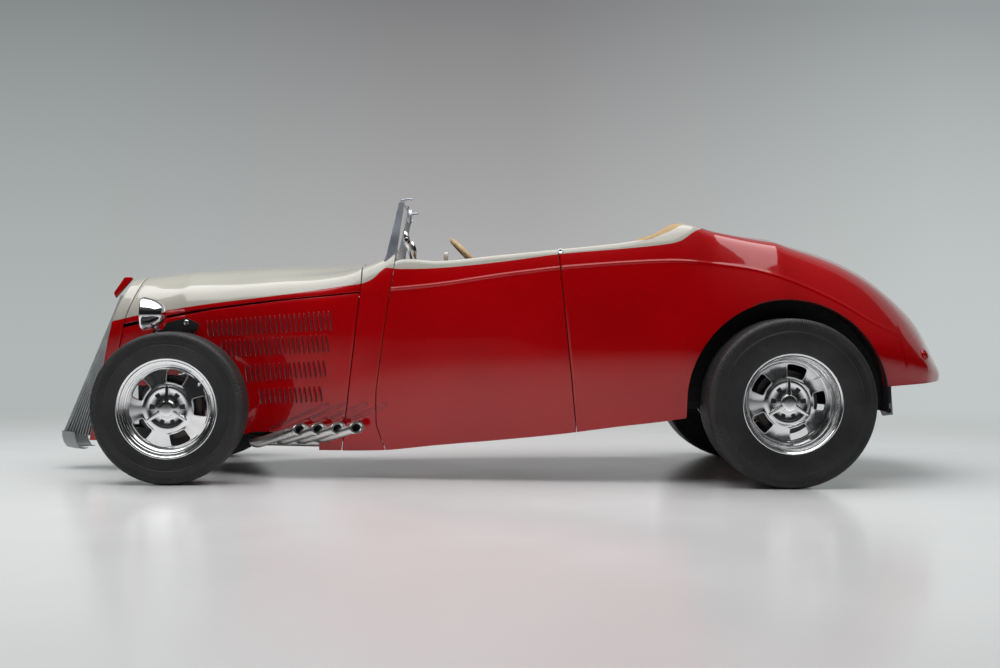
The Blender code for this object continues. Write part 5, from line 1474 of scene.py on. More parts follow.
def build_exhausts():
    """Four side pipes on each side, with their log, the bend to the engine and dark bores: soot black with
    painted shade inside the mouths.
    """
    mouths = (0.2032, 0.2341, 0.2668, 0.2984)
    starts = (0.1240, 0.1680, 0.2011, 0.2344)
    slope = math.tan(math.radians(19))
    for side, hand in ((-1, 'left'), (1, 'right')):
        shape = bmesh.new()
        bores = bmesh.new()
        for mouth, start in zip(mouths, starts):
            x0, x1 = along(start), along(mouth)
            z1 = 0.238 + 0.05 * (x1 - along(mouths[0]))
            z0 = z1 - (x1 - x0) * slope
            middle = (start + mouth) / 2
            path = curve_through([(x0 - 0.015, side * (beside(start, -0.040)), z0),
                                  (x0 + 0.02, side * beside(start, 0.026), z0 + 0.006),
                                  ((x0 + x1) / 2, side * beside(middle, 0.062), (z0 + z1) / 2),
                                  (x1, side * beside(mouth, 0.090), z1)])
            pipe, bore = bmesh.new(), bmesh.new()
            bar(pipe, path, 0.0245, 28, False)
            heading = (path[-1] - path[-2]).normalized()
            lip = [(-0.012, 0.0246), (-0.008, 0.0275), (0.0, 0.0288), (0.0030, 0.0278), (0.0036, 0.0235),
                   (0.0030, 0.0192), (0.000, 0.0178), (-0.012, 0.0175), (-0.070, 0.0172)]
            revolve(pipe, lip, path[-1], heading, 28)
            # Soot and painted shade: a near-black capped tube inside each mouth
            bmesh.ops.create_circle(bore, cap_ends=True, segments=20, radius=0.0175,
                                    matrix=facing(path[-1] - heading * 0.066, heading))
            bar(bore, [path[-1] - heading * d for d in (0.003, 0.020, 0.066)], 0.0171, 20, False)
            for piece, whole in ((pipe, shape), (bore, bores)):
                for vert in piece.verts:
                    away = vert.co - path[-1]
                    share = min(1.0, max(0.0, (away.dot(heading) + 0.060) / 0.048))
                    vert.co -= heading * ((away - heading * away.dot(heading)).y * side * share * 0.95)
                merge(whole, piece)
        bays = (0.112, 0.150, 0.195, 0.235)
        log = curve_through([(along(b), side * beside(b, -0.055), 0.168) for b in bays], 4)
        bar(shape, log, 0.024, 16)
        x = along(0.158)
        bend = beside(0.158, -0.055)
        bar(shape, curve_through([(x, side * 0.2003, 0.33), (x, side * 0.285, 0.33), (x, side * bend, 0.28),
                                  (x, side * bend, 0.17)], 5), 0.022, 16)
        closed(shape, f'exhaust_pipes_{hand}', 'satin_metal', [f'exhaust_{hand}'])
        finished(bores, f'exhaust_bores_{hand}', 'dark')


def build_springs():
    """The coil springs, the lamp bracket's bolts and the plates behind the rear wheels, their holes painted
    shade.
    """
    shape = bmesh.new()
    for side in (-1, 1):
        foot = Vector((FRONT_AXLE, side * 0.400, 0.305))
        head = Vector((along(0.0193), side * 0.404, 0.7047))
        axis = (head - foot).normalized()
        out = axis.orthogonal().normalized()
        other = axis.cross(out)
        path = []
        turns, steps = 7, 14
        for k in range(turns * steps + 1):
            a = 2 * math.pi * k / steps
            rise = 0.10 + 0.25 * k / (turns * steps)
            path.append(foot + axis * rise + (out * math.cos(a) + other * math.sin(a)) * 0.0385)
        bar(shape, path, 0.0055, 8)
    closed(shape, 'coil_springs', 'chrome', angle=50)
    bolts = bmesh.new()
    for side in (-1, 1):
        for x, z, r in ((-0.108, 0.697, 0.006), (0.030, 0.740, 0.013), (0.066, 0.722, 0.007)):
            spot = Vector((FRONT_AXLE + x, side * 0.4282, z))
            revolve(bolts, [(0.0, r), (0.003, r), (0.005, r * 0.8), (0.0062, 0.0006)], spot, (0, side, 0),
                    12)
    closed(bolts, 'bracket_bolts', 'chrome')
    plates, holes = bmesh.new(), bmesh.new()
    x0, x1 = along(1.574), along(1.652)
    for side in (-1, 1):
        y = side * 0.3915
        outline = ((x0 - 0.001, 0.454), (x1 - 0.009, 0.456), (x1 + 0.003, 0.311), (x1 - 0.045, 0.305),
                   (x0 - 0.001, 0.359))
        spot = Vector((x1 - 0.018, y + side * 0.0045, 0.330))
        plate(plates, [(x, y, z) for x, z in outline], (0, side * 0.004, 0))
        # Painted shade: each hole is a shallow near-black cap on the plate in place of an opening
        revolve(holes, [(0.0, 0.0125), (0.0012, 0.0118), (0.0012, 0.0088), (0.0004, 0.0008)], spot,
                (0, side, 0), 20)
    soften(plates, plates.edges[:], 0.0012, 2)
    finished(plates, 'drop_plates', 'nose_metal')
    closed(holes, 'drop_plate_holes', 'dark')


def build_headlamps():
    """Bowl lamps on their brackets, each with a lens and a reflector."""
    for side, hand in ((-1, 'left'), (1, 'right')):
        centre = Vector((FRONT_AXLE - 0.135, side * 0.42, 0.78))
        shape = bmesh.new()
        bowl = [(-0.040, 0.0735), (-0.0445, 0.0745), (-0.045, 0.0785), (-0.040, 0.0812), (-0.030, 0.0812),
                (-0.026, 0.0790),
                (-0.018, 0.0770), (0.000, 0.0735), (0.020, 0.0655), (0.038, 0.0545), (0.052, 0.0425),
                (0.062, 0.0290), (0.0675, 0.0160), (0.0690, 0.0008)]
        revolve(shape, bowl, centre, (1, 0, 0), 48)
        x = FRONT_AXLE - 0.135 + 0.026
        bar(shape, [(x, side * 0.42, 0.7048), (x, side * 0.42, 0.712), (x, side * 0.42, 0.735)], 0.007, 16,
            True, (0.011, 0.0085, 0.007))
        closed(shape, f'headlamp_bowl_{hand}', 'chrome', [f'headlamp_{hand}'])
        lens = bmesh.new()
        revolve(lens, [(-0.041, 0.0750), (-0.046, 0.060), (-0.050, 0.040), (-0.0525, 0.020),
                       (-0.0532, 0.0008)],
                centre, (1, 0, 0), 40)
        closed(lens, f'headlamp_lens_{hand}', 'lens')
        mirror = bmesh.new()
        revolve(mirror, [(-0.038, 0.0738), (-0.020, 0.060), (0.000, 0.040), (0.010, 0.018),
                         (0.012, 0.0008)],
                centre, (1, 0, 0), 40)
        bmesh.ops.recalc_face_normals(mirror, faces=mirror.faces)
        bmesh.ops.reverse_faces(mirror, faces=mirror.faces)
        finished(mirror, f'headlamp_reflector_{hand}', 'chrome')


def build_tail_lamps():
    """Small round lamps set flush in the tail."""
    for side, hand in ((-1, 'left'), (1, 'right')):
        x = along(1.80)
        spot = skin(x, 1.3)
        facing = normal_at(x, 1.3)
        if side == 1:
            spot.y, facing.y = -spot.y, -facing.y
        bezel = bmesh.new()
        revolve(bezel, [(-0.002, 0.0275), (0.003, 0.0275), (0.006, 0.0262), (0.007, 0.0240),
                        (0.006, 0.0225)], spot, facing, 32)
        closed(bezel, f'tail_lamp_bezel_{hand}', 'red', [f'tail_lamp_{hand}'])
        lens = bmesh.new()
        revolve(lens, [(0.004, 0.0240), (0.009, 0.0215), (0.012, 0.0150), (0.0135, 0.0006)], spot, facing,
                32)
        closed(lens, f'tail_lamp_lens_{hand}', 'red_lens')


def build_wells():
    """Dark tubs inside the rear wheel arches: near-black inner panels that also stand as painted shade in
    the arches.
    """
    for side, hand in ((-1, 'left'), (1, 'right')):
        cx, cz = ARCH[:2]
        shape = bmesh.new()
        line = [(0.535, 0.05), (0.535, 0.30), (0.535, 0.465), (0.542, 0.4735), (0.660, 0.4735)]
        start = Vector((1, 0, -0.10)).normalized()
        verts = [shape.verts.new(Vector((cx, side * a, cz)) + start * d) for a, d in line]
        edges = [shape.edges.new(pair) for pair in zip(verts, verts[1:])]
        bmesh.ops.spin(shape, geom=verts + edges, cent=(cx, 0, cz), axis=(0, -1, 0),
                       angle=math.radians(191), steps=40)
        bmesh.ops.recalc_face_normals(shape, faces=shape.faces)
        flip_to(shape, Vector((0, side, 0)))
        made = finished(shape, f'wheel_tub_{hand}', 'dark')
        wall(made, 0.003)


# Cockpit and windshield

POST_X = along(0.3508)
POST_LOW = 1.045
HEADER = (POST_X + 0.048, 1.327)
MIRROR_HEIGHT = 1.283
POST_HEAD_HALF = 0.462
STEER_CENTRE = Vector((along(0.498), -0.31, 1.020))


def rounded_bar(shape, path, width, depth, side_axis, sides=12):
    """A flat bar of rounded section along a path; side_axis is the way its depth points."""
    points = [Vector(p) for p in path]
    before = None
    first = None
    widths = width if isinstance(width, (list, tuple)) else [width] * len(points)
    for k, point in enumerate(points):
        heading = (points[min(k + 1, len(points) - 1)] - points[max(k - 1, 0)]).normalized()
        deep = Vector(side_axis)
        deep = (deep - heading * deep.dot(heading)).normalized()
        wide = deep.cross(heading)
        turn = Matrix((wide, deep, heading)).transposed().to_4x4()
        ring = bmesh.ops.create_circle(shape, segments=sides, radius=0.5,
                                       matrix=Matrix.Translation(point) @ turn)
        verts = ring['verts']
        for n, vert in enumerate(verts):
            a = 2 * math.pi * (n + 0.5) / sides
            c, s = math.cos(a), math.sin(a)
            u = math.copysign(abs(c) ** 0.45, c) * widths[k] / 2
            w = math.copysign(abs(s) ** 0.45, s) * depth / 2
            vert.co = point + wide * u + deep * w
        edges = list({e for v in verts for e in v.link_edges})
        if before:
            bmesh.ops.bridge_loops(shape, edges=before + edges)
        else:
            first = edges
        before = edges
    bmesh.ops.contextual_create(shape, geom=first)
    bmesh.ops.contextual_create(shape, geom=before)


def build_posts():
    """The windshield's blade posts on their feet, its thin header and its lower rail."""
    shape = bmesh.new()
    header_x, header_z = HEADER
    level = Vector((0, 1, 0))
    for side in (-1, 1):
        foot = Vector((POST_X + 0.004, side * 0.475, POST_LOW))
        head = Vector((header_x + 0.006, side * POST_HEAD_HALF, header_z - 0.012))
        path = [foot + (head - foot) * t for t in (0.0, 0.06, 0.3, 0.7, 1.0)]
        rounded_bar(shape, path, (0.052, 0.049, 0.043, 0.032, 0.026), 0.015, level, 16)
        path = [foot + Vector(step) for step in ((-0.002, 0, -0.012), (0, 0, 0.004), (0, 0, 0.014))]
        rounded_bar(shape, path, (0.060, 0.056, 0.046), 0.022, level, 16)
        # the header's end reaches back past the post
        path = [(header_x + dx, side * POST_HEAD_HALF, header_z + dz)
                for dx, dz in ((0.006, -0.004), (0.032, 0.003), (0.058, 0.004))]
        rounded_bar(shape, path, (0.014, 0.012, 0.009), 0.015, level, 12)
    across = [(header_x + 0.008, POST_HEAD_HALF * (k / 4 - 1), header_z - 0.003) for k in range(9)]
    bar(shape, across, 0.0062, 12)
    low = [(POST_X + 0.010, 0.468 * (k / 4 - 1), POST_LOW + 0.030 + 0.036 * (1 - (k / 4 - 1) ** 2))
           for k in range(9)]
    bar(shape, low, 0.0075, 12)
    closed(shape, 'windshield_posts', 'blade', ['windshield_frame'])


def build_clamps():
    """A chrome clamp behind each post, on a short stem, and a dark strip inside the post."""
    arms, strips = bmesh.new(), bmesh.new()
    steps = ((0.014, 0, 0), (0.008, 0, 0.022), (0.0, 0, 0.048), (-0.003, 0, 0.060), (-0.006, 0, 0.078),
             (-0.011, 0, 0.100), (-0.016, 0, 0.122), (-0.019, 0, 0.134))
    radii = (0.0065, 0.0055, 0.0075, 0.0125, 0.0165, 0.0170, 0.0125, 0.0040)
    for side in (-1, 1):
        base = Vector((FRONT_AXLE + 1.086, side * 0.452, 1.046))
        bar(arms, [base + Vector(step) for step in steps], 0.01, 18, True, radii)
        revolve(arms, [(-0.003, 0.0105), (0.004, 0.0105), (0.0065, 0.0085), (0.0065, 0.0006)],
                base + Vector((-0.010, side * 0.014, 0.094)), (0, side, 0), 20)
        foot = Vector((POST_X + 0.034, side * 0.470, POST_LOW + 0.120))
        head = Vector((POST_X + 0.058, side * 0.463, POST_LOW + 0.235))
        rounded_bar(strips, [foot, (foot + head) / 2, head], 0.010, 0.010, (0, 1, 0), 10)
    closed(arms, 'windshield_clamps', 'chrome', angle=50)
    closed(strips, 'windshield_strips', 'black', angle=50)


def build_pane():
    """The flat glass, narrower at its head."""
    header_z = HEADER[1]
    foot_z, head_z = POST_LOW + 0.02, header_z - 0.012

    def place(i, j):
        t = j / 6
        z = foot_z + (head_z - foot_z) * t
        x = POST_X + 0.006 + 0.042 * (z - POST_LOW) / (header_z - POST_LOW)
        half = 0.4675 - 0.0125 * t
        return Vector((x, half * (i / 6 - 1), z))

    part, _ = grid(12, 6, place)
    wall(finished(part, 'windshield_pane', 'glass', ['windshield_glass']), 0.005, 0.0, 0.0)


def build_mirror():
    """The round inside mirror on its stem under the header."""
    shell = bmesh.new()
    x = HEADER[0] + 0.0213
    back = [(-0.0105, 0.0008), (-0.010, 0.018), (-0.004, 0.031), (0.004, 0.0352), (0.012, 0.0360),
            (0.0155, 0.0345), (0.0158, 0.0315), (0.0140, 0.0305)]
    revolve(shell, back, (x, 0, MIRROR_HEIGHT), (1, 0, 0), 32)
    bar(shell, [(x, 0, MIRROR_HEIGHT), (x, 0, 1.310), (x - 0.004, 0, 1.3365)], 0.0052, 12)
    closed(shell, 'mirror_shell', 'blade', ['mirror'])
    face = bmesh.new()
    bmesh.ops.create_circle(face, cap_ends=True, segments=32, radius=0.0310,
                            matrix=facing((x + 0.0145, 0, MIRROR_HEIGHT), Vector((1, 0, 0))))
    finished(face, 'mirror_glass', 'chrome')


def build_dashboard():
    """The dashboard under the cowl with its row of dials."""
    x = along(0.3575) - 0.008
    low = 0.865

    def top(y):
        return skin(x, v_for_y(x, abs(y))).z - 0.020

    def place(i, j):
        u = i / 20 - 1
        half = 0.475
        y = u * half
        t = j / 10
        high = max(top(y), low + 0.03)
        z = low + (high - low) * t
        return Vector((x - 0.006 - 0.010 * (2 * t - 1) ** 2, y, z))

    part, _ = grid(40, 10, place)
    flip_to(part, Vector((1, 0, 0)))
    made = finished(part, 'dashboard_panel', 'cream', ['dashboard'])
    wall(made, 0.014, 0.003)
    bezels, faces, hands = bmesh.new(), bmesh.new(), bmesh.new()
    front = x - 0.0055
    for y, size in ((-0.39, 0.046), (-0.23, 0.046), (-0.07, 0.030), (0.02, 0.030), (0.11, 0.030)):
        spot = Vector((front, y, 0.945))
        revolve(bezels, [(-0.004, size + 0.003), (0.004, size + 0.004), (0.008, size),
                         (0.007, size - 0.004), (0.002, size - 0.005)], spot, (1, 0, 0), 32)
        bmesh.ops.create_circle(faces, cap_ends=True, segments=32, radius=size - 0.0045,
                                matrix=facing(spot + Vector((0.003, 0, 0)), Vector((1, 0, 0))))
        for k in range(11):
            a = math.radians(-30 + 24 * k)
            out = Vector((0, math.cos(a), math.sin(a)))
            mark = spot + Vector((0.0034, 0, 0))
            bar(hands, [mark + out * (size * 0.72), mark + out * (size * 0.84)], 0.0006, 4)
        pivot = spot + Vector((0.0042, 0, 0))
        bar(hands, [pivot, pivot + Vector((0, 0.5, 0.6)) * size], 0.0009, 5)
    flip_to(faces, Vector((1, 0, 0)))
    closed(bezels, 'dial_bezels', 'chrome')
    finished(faces, 'dial_faces', 'dial')
    closed(hands, 'dial_hands', 'black')


def build_steering():
    """The steering wheel, and the gear lever with its knob and boot."""
    centre = STEER_CENTRE
    heading = Vector((math.sqrt(0.5), 0, math.sqrt(0.5)))
    level = Vector((0, 1, 0))
    upper = heading.cross(level)
    rim = bmesh.new()
    ring = [(0.0125 * math.cos(2 * math.pi * k / 16),
             0.175 + 0.0125 * math.sin(2 * math.pi * k / 16)) for k in range(16)]
    revolve(rim, ring, centre, heading, 72, True)
    closed(rim, 'steering_rim', 'leather', ['steering_wheel'], angle=60, body='steering_wheel')
    hub = bmesh.new()
    revolve(hub, [(-0.045, 0.0006), (-0.045, 0.018), (-0.030, 0.022), (-0.022, 0.034), (-0.010, 0.036),
                  (-0.004, 0.030), (0.000, 0.022), (0.001, 0.0006)], centre, heading, 36)
    for angle in (90, 210, 330):
        a = math.radians(angle)
        out = level * math.cos(a) + upper * math.sin(a)
        path = [centre - heading * 0.014 + out * 0.028, centre - heading * 0.011 + out * 0.08,
                centre - heading * 0.003 + out * 0.14, centre + out * 0.168]
        rounded_bar(hub, path, (0.026, 0.020, 0.017, 0.022), 0.0045, heading, 12)
    for k in range(9):
        a = 2 * math.pi * k / 9
        out = level * math.cos(a) + upper * math.sin(a)
        revolve(hub, [(-0.006, 0.0026), (-0.001, 0.0026), (0.0005, 0.0004)],
                centre - heading * 0.003 + out * 0.0275, heading, 8)
    closed(hub, 'steering_hub', 'polished', body='steering_wheel')
    lever = bmesh.new()
    x = along(0.442)
    bar(lever, curve_through([(x - 0.02, 0, 0.515), (x - 0.021, 0, 0.70), (x - 0.012, 0, 0.90),
                              (x, 0, 1.060)], 5), 0.0062, 14)
    closed(lever, 'gear_stick', 'chrome', ['gear_lever'])
    knob = bmesh.new()
    revolve(knob, [(-0.023, 0.0070), (-0.016, 0.0095), (-0.002, 0.0125), (0.010, 0.0140), (0.018, 0.0125),
                   (0.0235, 0.0075), (0.0242, 0.0006)], (x, 0, 1.078), (0, 0, 1), 28)
    closed(knob, 'gear_knob', 'knob')
    boot = bmesh.new()
    revolve(boot, [(0.0, 0.056), (0.004, 0.060), (0.012, 0.050), (0.022, 0.046), (0.030, 0.036),
                   (0.040, 0.032),
                   (0.050, 0.022), (0.060, 0.018), (0.066, 0.009), (0.068, 0.0065)], (x - 0.02, 0, 0.500),
            (0, 0, 1), 28)
    closed(boot, 'gear_boot', 'leather', angle=60)


def pleated(name, sample, node, chosen, width=0.500, pitch=0.0625, depth=0.016):
    """A closed cushion: a rounded side-view ring swept across the car, drawn in at its ends.

    sample is the ring's (x, z) points; chosen picks how far a point takes the pleats.
    """
    columns = 132
    count = len(sample)
    cx = sum(p[0] for p in sample) / count
    cz = sum(p[1] for p in sample) / count

    def place(i, j):
        u = i / columns * 2 - 1
        y = u * width
        edge = max(0.0, (abs(y) - (width - 0.055)) / 0.055)
        shrink = math.sqrt(max(0.0, 1 - edge ** 2.6))
        crown = 0.010 * (1 - u * u)
        px, pz = sample[j % count]
        a, b = sample[j % count - 1], sample[(j + 1) % count]
        nx, nz = b[1] - a[1], a[0] - b[0]
        length = math.hypot(nx, nz)
        nx, nz = nx / length, nz / length
        fold = abs(math.cos(math.pi * (y / pitch)))
        puff = (depth * (fold ** 0.5 - 1) + crown) * chosen(nx, nz)
        return Vector((cx + (px + nx * puff - cx) * (0.90 + 0.10 * shrink), y,
                       cz + (pz + nz * puff - cz) * (0.72 + 0.28 * shrink)))

    shape, _ = grid(columns, count, place)
    fuse(shape, 0.0002)
    bmesh.ops.holes_fill(shape, edges=[e for e in shape.edges if e.is_boundary], sides=0)
    bmesh.ops.recalc_face_normals(shape, faces=shape.faces)
    made = finished(shape, name, 'leather', [node], angle=75)
    return made


def round_ring(corners, radius, steps=5, straight_steps=6):
    """Side-view points of a closed outline with rounded corners, anticlockwise."""
    points = []
    count = len(corners)
    for k in range(count):
        a, b, c = (Vector(corners[(k + d) % count]) for d in (-1, 0, 1))
        one, two = (a - b).normalized(), (c - b).normalized()
        start, end = b + one * radius, b + two * radius
        for n in range(steps + 1):
            t = n / steps
            points.append((start * (1 - t) ** 2 + b * 2 * t * (1 - t) + end * t * t)[:])
        following = Vector(corners[(k + 1) % count])
        far = following - two * radius
        for n in range(1, straight_steps):
            points.append((end + (far - end) * n / straight_steps)[:])
    return points


def build_seats():
    """The bench seat's cushion and back."""
    front, rear = along(0.600), along(0.785)
    cushion = round_ring(((front + 0.015, 0.395), (rear - 0.004, 0.400), (rear - 0.006, 0.610),
                          (front + 0.004, 0.650)), 0.045)
    pleated('seat_cushion_pad', cushion, 'seat_cushion',
            lambda nx, nz: max(0.0, nz) ** 0.5 if nz > 0.2 else 0.35 * max(0.0, -nx))
    x0 = rear + 0.003
    back = round_ring(((x0 + 0.005, 0.560), (along(0.838), 0.560), (along(0.8405) - 0.004, 1.186),
                       (x0 + 0.050, 1.170)), 0.042)
    pleated('seat_back_pad', back, 'seat_back',
            lambda nx, nz: max(0.0, -nx) ** 0.5 if nx < -0.2 else 0.35 * max(0.0, nz))


def build_cabin():
    """The firewall's carpet and the round buttons on the rails."""
    x = along(0.319)

    def place(i, j):
        u = i / 20 - 1
        t = j / 16
        z = 0.305 + (skin(x, 4.0).z - 0.012 - 0.305) * t
        if z < skin(x, 2.0).z - 0.012:
            half = -skin(x, v_at(x, z)).y - 0.012
        else:
            low, high = 2.0, 4.0
            for _ in range(20):
                middle = (low + high) / 2
                if skin(x, middle).z < z + 0.012:
                    low = middle
                else:
                    high = middle
            half = max(0.0, -skin(x, low).y - 0.004)
        return Vector((x, u * half, z))

    part, _ = grid(40, 16, place)
    # an opening for the gearbox
    middles = {face: face.calc_center_median() for face in part.faces}
    gone = [face for face, at in middles.items() if abs(at.y) < 0.15 and at.z < 0.50]
    bmesh.ops.delete(part, geom=gone, context='FACES')
    flip_to(part, Vector((1, 0, 0)))
    made = finished(part, 'firewall_panel', 'carpet')
    wall(made, 0.012, 0.0)
    button = bmesh.new()
    spot_x = FRONT_AXLE + 1.797
    spot = skin(spot_x, V_EDGE)
    facing = normal_at(spot_x, 1.9)
    for side in (-1, 1):
        at = Vector((spot.x, spot.y * -side, spot.z))
        way = Vector((facing.x, facing.y * -side, facing.z))
        revolve(button, [(-0.004, 0.0115), (0.003, 0.0115), (0.0045, 0.0095), (0.003, 0.0065),
                         (0.0015, 0.0006)], at, way, 20)
    closed(button, 'rail_buttons', 'chrome')


def dress_frame():
    """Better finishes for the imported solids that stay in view."""
    given = {'chassis_frame': 'black', 'front_axle': 'black', 'rear_axle': 'black', 'floor_pan': 'carpet',
             'radiator': 'fins', 'engine_block': 'cast', 'gearbox': 'cast', 'driveshaft': 'black',
             'knuckle_left': 'cast',
             'knuckle_right': 'cast', 'tie_rod': 'chrome', 'steering_column': 'chrome'}
    for node, key in given.items():
        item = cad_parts[node]
        for slot in item.material_slots:
            slot.material = FINISH[key]


# Stage

STAGE_HALF = 14
BACKDROP_Y = 4.6
FLOOR_FADE = (1.2, 4.4)
LAMP_SPOT = (-0.9, -1.0, 5.0)
LAMP_SIZE = (8.0, 6.0)
CAMERA_SPOT = (-0.1833, -7.061, 0.7814)
CAMERA_TURN = (0.0263, -0.0133, -0.0054)


def wall_light(place, settings):
    """The backdrop's glow: darker above, lighter to the right; the floor's far part shares it."""
    rise = place.split(2).span(0.3, 3.4)
    across = place.split(0)
    right, left = across.span(0.4, 3.8), 1.0 - across.span(-3.6, -0.6)
    colour = (rise ** 1.25).blend(shade(settings.wall_low, 1.0), shade(settings.wall_high, 1.0))
    cool = (right + left).blend((1.0, 0.985, 0.99, 1), (0.955, 1.03, 1.015, 1))
    tinted = colour.put('ShaderNodeMix', {'data_type': 'RGBA', 'blend_type': 'MULTIPLY'},
                        {0: 1.0, 6: colour, 7: cool}, 2)
    level = 1.0 + right * (0.13 + rise * 0.38) + left * (rise * 0.22 - 0.07)
    return tinted.put('ShaderNodeEmission', None,
                      {'Color': tinted, 'Strength': level * settings.wall_level})


def stage_floor(settings):
    """A glossy floor that fades into the backdrop far behind the car."""
    made, shader, place = material('stage_floor_finish', Specular_IOR_Level=0.4)
    worn = place.noise(0.8, 2).span(0.3, 0.7)
    feed(shader, 'Base Color',
         worn.blend(shade(settings.floor_colour, 0.985), shade(settings.floor_colour, 1.015)))
    feed(shader, 'Roughness', place.noise(1.5, 3).span(0.3, 0.7, 0.16, 0.22))
    tree = made.node_tree
    near = Wire(tree, shader.outputs['BSDF'])
    far = wall_light(place, settings)
    mixed = place.put('ShaderNodeMixShader', None, {0: place.split(1).span(*FLOOR_FADE), 1: near, 2: far})
    tree.links.new(mixed.socket, tree.nodes['Material Output'].inputs['Surface'])
    floor = bmesh.new()
    bmesh.ops.create_grid(floor, x_segments=1, y_segments=1, size=STAGE_HALF)
    plain_object(floor, 'stage_floor', made)


def stage_backdrop(settings):
    """The lit wall behind the car, which a view from behind passes through."""
    back = bpy.data.materials.new('stage_backdrop_finish')
    back.use_nodes = True
    tree = back.node_tree
    tree.nodes.clear()
    place = Wire(tree, tree.nodes.new('ShaderNodeTexCoord').outputs['Object'])
    output = tree.nodes.new('ShaderNodeOutputMaterial')
    behind = place.put('ShaderNodeNewGeometry', None, {}, 6)
    clear = place.put('ShaderNodeBsdfTransparent', None, {})
    shown = place.put('ShaderNodeMixShader', None, {0: behind, 1: wall_light(place, settings), 2: clear})
    tree.links.new(shown.socket, output.inputs['Surface'])
    shape = bmesh.new()
    bmesh.ops.create_grid(shape, x_segments=1, y_segments=1, size=STAGE_HALF)
    upright = Matrix.Rotation(math.radians(90), 3, 'X')
    bmesh.ops.rotate(shape, cent=(0, 0, 0), matrix=upright, verts=shape.verts)
    bmesh.ops.translate(shape, verts=shape.verts, vec=(0, BACKDROP_Y, STAGE_HALF - 0.1))
    plain_object(shape, 'stage_backdrop', back)


def room_light(settings):
    """The room: dark behind the camera, a little light overhead, plain grey to a view past the wall."""
    world = bpy.data.worlds.new('studio')
    bpy.context.scene.world = world
    world.use_nodes = True
    tree = world.node_tree
    tree.nodes.clear()
    place = Wire(tree, tree.nodes.new('ShaderNodeTexCoord').outputs['Generated'])
    rise = place.split(2).span(0.35, 0.95)
    colour = rise.blend((0.012, 0.012, 0.013, 1), (0.16, 0.165, 0.165, 1))
    seen = place.put('ShaderNodeLightPath', None, {}, 0)
    colour = seen.blend(colour, shade(settings.wall_low, 0.9))
    light = colour.put('ShaderNodeBackground', None, {'Color': colour, 'Strength': settings.room_level})
    output = tree.nodes.new('ShaderNodeOutputWorld')
    tree.links.new(light.socket, output.inputs['Surface'])


def overhead_lamp(settings):
    """The wide soft lamp over the car, pointing straight down."""
    data = bpy.data.lights.new('top_lamp', 'AREA')
    data.shape = 'RECTANGLE'
    data.size, data.size_y = LAMP_SIZE
    data.energy = settings.top_lamp
    lamp = bpy.data.objects.new('top_lamp', data)
    lamp.location = LAMP_SPOT
    bpy.context.scene.collection.objects.link(lamp)


def photo_camera(settings):
    """The camera, where the photograph was taken from."""
    scene = bpy.context.scene
    data = bpy.data.cameras.new('photo_camera')
    data.sensor_width = 36
    data.lens = settings.lens
    camera = bpy.data.objects.new('photo_camera', data)
    yaw, pitch, roll = CAMERA_TURN
    forward = Vector((math.sin(yaw) * math.cos(pitch), math.cos(yaw) * math.cos(pitch), math.sin(pitch)))
    right = forward.cross(Vector((0, 0, 1))).normalized()
    up = right.cross(forward)
    right, up = right * math.cos(roll) - up * math.sin(roll), right * math.sin(roll) + up * math.cos(roll)
    turn = Matrix((right, up, -forward)).transposed().to_4x4()
    camera.matrix_world = Matrix.Translation(CAMERA_SPOT) @ turn
    scene.collection.objects.link(camera)
    scene.camera = camera


def build_stage(settings):
    """Floor, backdrop, room light, lamp and camera."""
    bpy.context.scene.view_settings.view_transform = 'Standard'
    stage_floor(settings)
    stage_backdrop(settings)
    room_light(settings)
    overhead_lamp(settings)
    photo_camera(settings)


def plain_object(shape, name, made):
    """An object of the stage, which rides on no body."""
    mesh = bpy.data.meshes.new(name)
    shape.to_mesh(mesh)
    shape.free()
    item = bpy.data.objects.new(name, mesh)
    mesh.materials.append(made)
    bpy.context.scene.collection.objects.link(item)
    return item


# Settings, operators and panel


class PaintSettings(PropertyGroup):
    body_red: FloatVectorProperty(name='Body red', description='Colour of the lower body paint',
                                  default=(0.44, 0.0004, 0.0024), size=3, subtype='COLOR', min=0, max=1)
    band_cream: FloatVectorProperty(name='Band cream', description='Colour of the upper body paint',
                                    default=(0.49, 0.475, 0.415), size=3, subtype='COLOR', min=0, max=1)
    leather_tan: FloatVectorProperty(name='Leather tan', description='Colour of the seats and trim',
                                     default=(0.50, 0.34, 0.17), size=3, subtype='COLOR', min=0, max=1)


class PressSettings(PropertyGroup):
    louvre_height: FloatProperty(name='Louvre height',
                                 description='How far the louvres stand out of the hood side',
                                 default=0.0050, unit='LENGTH', min=0.001, max=0.008)


class WheelSettings(PropertyGroup):
    window_count: IntProperty(name='Windows', description='Windows in each wheel', default=5, min=3, max=8)
    window_turn: FloatProperty(name='Window turn', description='Angle of the first window from the level',
                               default=math.radians(3.0), subtype='ANGLE', unit='ROTATION')


class StageSettings(PropertyGroup):
    floor_colour: FloatVectorProperty(name='Floor colour', description='Colour of the studio floor',
                                      default=(0.80, 0.80, 0.805), size=3, subtype='COLOR', min=0, max=1)
    wall_low: FloatVectorProperty(name='Wall low', description='Colour of the backdrop near the floor',
                                  default=(0.49, 0.49, 0.49), size=3, subtype='COLOR', min=0, max=1)
    wall_high: FloatVectorProperty(name='Wall high',
                                   description='Colour of the backdrop at the top of the picture',
                                   default=(0.215, 0.217, 0.222), size=3, subtype='COLOR', min=0, max=1)
    wall_level: FloatProperty(name='Wall level', description='Strength of the backdrop', default=1.0, min=0,
                              max=4)
    top_lamp: FloatProperty(name='Top lamp', description='Power of the wide lamp overhead', default=430.0,
                            unit='POWER')
    room_level: FloatProperty(name='Room level', description='Strength of the room light', default=1.0,
                              min=0, max=4)
    lens: FloatProperty(name='Lens', description='Focal length of the camera in millimetres', default=49.86,
                        min=20, max=200)


